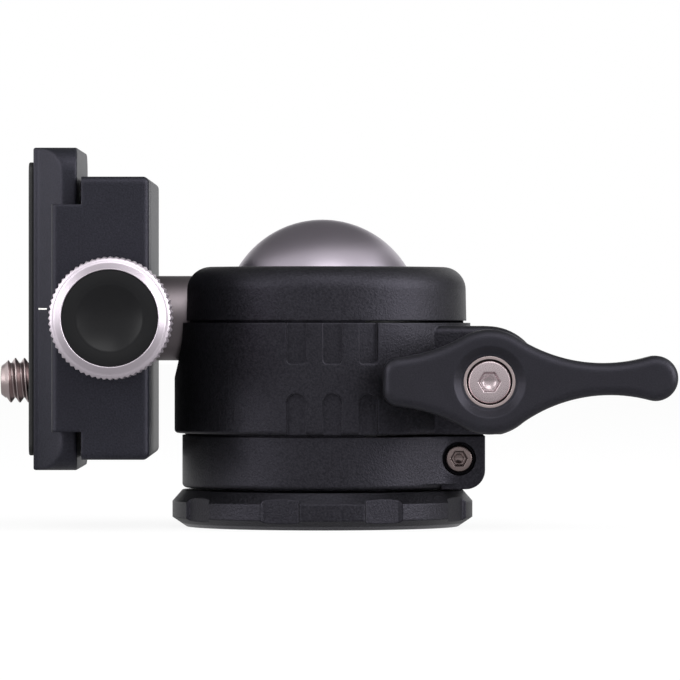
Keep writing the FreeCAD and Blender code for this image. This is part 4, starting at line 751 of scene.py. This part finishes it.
class HEAD_OT_stage(bpy.types.Operator):
    """Set up the floor, the light and the camera."""

    bl_idname = "ball_head.stage"
    bl_label = "Stage"

    def execute(self, context):
        scene = context.scene
        stage = scene.head_stage
        scene.view_settings.view_transform = "Standard"
        self.camera(scene, stage)
        self.world(scene, stage)
        self.floor(scene)
        self.lamps(scene, stage)
        self.cards(scene, stage)
        return {"FINISHED"}

    def camera(self, scene, stage):
        """A long lens at about the ball's height, straight in front."""
        data = bpy.data.cameras.new("photo_camera")
        data.lens = stage.lens
        data.sensor_width = 36
        data.clip_start = 0.05
        data.clip_end = 20
        camera = bpy.data.objects.new("photo_camera", data)
        camera.location = (stage.view_across, -stage.view_far, stage.view_up)
        camera.rotation_euler = (math.pi / 2 - stage.view_down, 0, 0)
        scene.collection.objects.link(camera)
        scene.camera = camera

    def world(self, scene, stage):
        """An even room that shows as plain white."""
        world = bpy.data.worlds.new("studio")
        world.use_nodes = True
        tree = world.node_tree
        tree.nodes.clear()
        room = add(tree, "ShaderNodeBackground", {"Color": (1, 1, 1, 1), "Strength": stage.fill})
        white = add(tree, "ShaderNodeBackground", {"Color": (1, 1, 1, 1), "Strength": 1.0})
        seen = self.seen(tree)
        mixed = add(tree, "ShaderNodeMixShader", {0: seen, 1: room.outputs[0], 2: white.outputs[0]})
        add(tree, "ShaderNodeOutputWorld", {"Surface": mixed.outputs[0]})
        scene.world = world

    def seen(self, tree):
        """1 for rays from the camera, or by way of metal or glass."""
        path = add(tree, "ShaderNodeLightPath").outputs
        both = add(tree, "ShaderNodeMath", {0: path["Is Camera Ray"], 1: path["Is Glossy Ray"]},
                   operation="MAXIMUM").outputs[0]
        return add(tree, "ShaderNodeMath", {0: both, 1: path["Is Transmission Ray"]},
                   operation="MAXIMUM").outputs[0]

    def square(self, scene, name, half, material):
        """A flat square on the stage, about the origin."""
        mesh = bpy.data.meshes.new(name)
        mesh.from_pydata([(-half, -half, 0), (half, -half, 0), (half, half, 0), (-half, half, 0)], [],
                         [(0, 1, 2, 3)])
        mesh.materials.append(material)
        flat = bpy.data.objects.new(name, mesh)
        scene.collection.objects.link(flat)
        return flat

    def floor(self, scene):
        """White paper: nine tenths plain white where it is seen, and the rest keeps the head's shadow."""
        material, tree = empty_material("studio_floor")
        paper = add(tree, "ShaderNodeBsdfDiffuse", {"Color": (0.95, 0.95, 0.95, 1)})
        white = add(tree, "ShaderNodeEmission", {"Color": (1, 1, 1, 1), "Strength": 1.0})
        shown = add(tree, "ShaderNodeMath", {0: self.seen(tree), 1: 0.9}, operation="MULTIPLY").outputs[0]
        mixed = add(tree, "ShaderNodeMixShader", {0: shown, 1: paper.outputs[0], 2: white.outputs[0]})
        add(tree, "ShaderNodeOutputMaterial", {"Surface": mixed.outputs[0]})
        self.square(scene, "floor", 3.0, material)

    def cards(self, scene, stage):
        """Grey cards that only reflections see: the dim room above, behind and to the right, the one round the
        camera, and, as painted shade, a dim sheet on the floor that stands in for the floor's shade under the
        head. A row is name, place, half width and share of the card setting."""
        for name, spot, half, share in (
            ("top_card", (-0.1, 0.55, 0.85), 1.0, 0.7),
            ("right_back_card", (0.9, 0.5, 0.2), 0.8, 1.0),
            ("front_card", (0, -1.4, 0.2), 1.1, 3.2),
            # Painted shade: a dim sheet on the floor, seen only in reflections, stands in for the floor's shade
            # under the head
            ("floor_shade_card", (0, -0.15, 0.0005), 0.45, 1.8),
        ):
            material, tree = empty_material(name)
            # The card fades out to the white room, so that no reflection shows its edge
            where = add(tree, "ShaderNodeTexCoord").outputs["Object"]
            away = add(tree, "ShaderNodeVectorMath", {0: where}, operation="LENGTH").outputs["Value"]
            fade = add(tree, "ShaderNodeMapRange", {"Value": away, "From Min": 0.6 * half, "From Max": half,
                                                    "To Min": share * stage.card, "To Max": 1.0},
                       interpolation_type="SMOOTHSTEP").outputs[0]
            glow = add(tree, "ShaderNodeEmission", {"Color": (1, 1, 1, 1), "Strength": fade})
            add(tree, "ShaderNodeOutputMaterial", {"Surface": glow.outputs[0]})
            card = self.square(scene, name, half, material)
            # The floor's painted shade sheet lies flat, and the others face the head
            facing = (AIM - Vector(spot)).to_track_quat("Z", "Y").to_matrix().to_4x4()
            turn = Matrix.Identity(4) if name == "floor_shade_card" else facing
            card.matrix_world = Matrix.Translation(spot) @ turn
            card.visible_camera = False
            card.visible_diffuse = False
            card.visible_shadow = False

    def lamps(self, scene, stage):
        """Three softboxes. A row is name, place, width, height and share of the side light."""
        for name, spot, width, height, share in (
            ("right_softbox", (0.7, -0.25, 0.25), 0.55, 0.7, 1.0),
            ("left_softbox", (-0.7, -0.35, 0.2), 0.55, 0.7, 0.6),
            ("front_softbox", (0.15, -0.7, 0.8), 0.7, 0.65, 0.5),
        ):
            place = Vector(spot)
            data = bpy.data.lights.new(name, "AREA")
            data.shape = "RECTANGLE"
            data.size = width
            data.size_y = height
            data.energy = share * stage.side_light
            lamp = bpy.data.objects.new(name, data)
            lamp.location = place
            lamp.rotation_mode = "QUATERNION"
            lamp.rotation_quaternion = (place - AIM).to_track_quat("Z", "Y")
            scene.collection.objects.link(lamp)


OPERATORS = (HEAD_OT_stage, HEAD_OT_finishes, HEAD_OT_knob, HEAD_OT_threads, HEAD_OT_sockets, HEAD_OT_plate,
             HEAD_OT_index_line)


class HEAD_PT_panel(bpy.types.Panel):
    """Lists the steps that build the head."""

    bl_label = "Ball Head"
    bl_idname = "HEAD_PT_panel"
    bl_space_type = "VIEW_3D"
    bl_region_type = "UI"
    bl_category = "Ball Head"

    def draw(self, context):
        for kind in OPERATORS:
            self.layout.operator(kind.bl_idname)


CLASSES = (HeadSizes, HeadColours, HeadStage) + OPERATORS + (HEAD_PT_panel,)


def register():
    for kind in CLASSES:
        bpy.utils.register_class(kind)
    bpy.types.Scene.head_sizes = PointerProperty(type=HeadSizes)
    bpy.types.Scene.head_colours = PointerProperty(type=HeadColours)
    bpy.types.Scene.head_stage = PointerProperty(type=HeadStage)


def unregister():
    for name in ("head_sizes", "head_colours", "head_stage"):
        delattr(bpy.types.Scene, name)
    for kind in reversed(CLASSES):
        bpy.utils.unregister_class(kind)


def main():
    """Build every piece."""
    register()
    for kind in OPERATORS:
        group, name = kind.bl_idname.split(".")
        getattr(getattr(bpy.ops, group), name)()


if __name__ == "__main__":
    main()
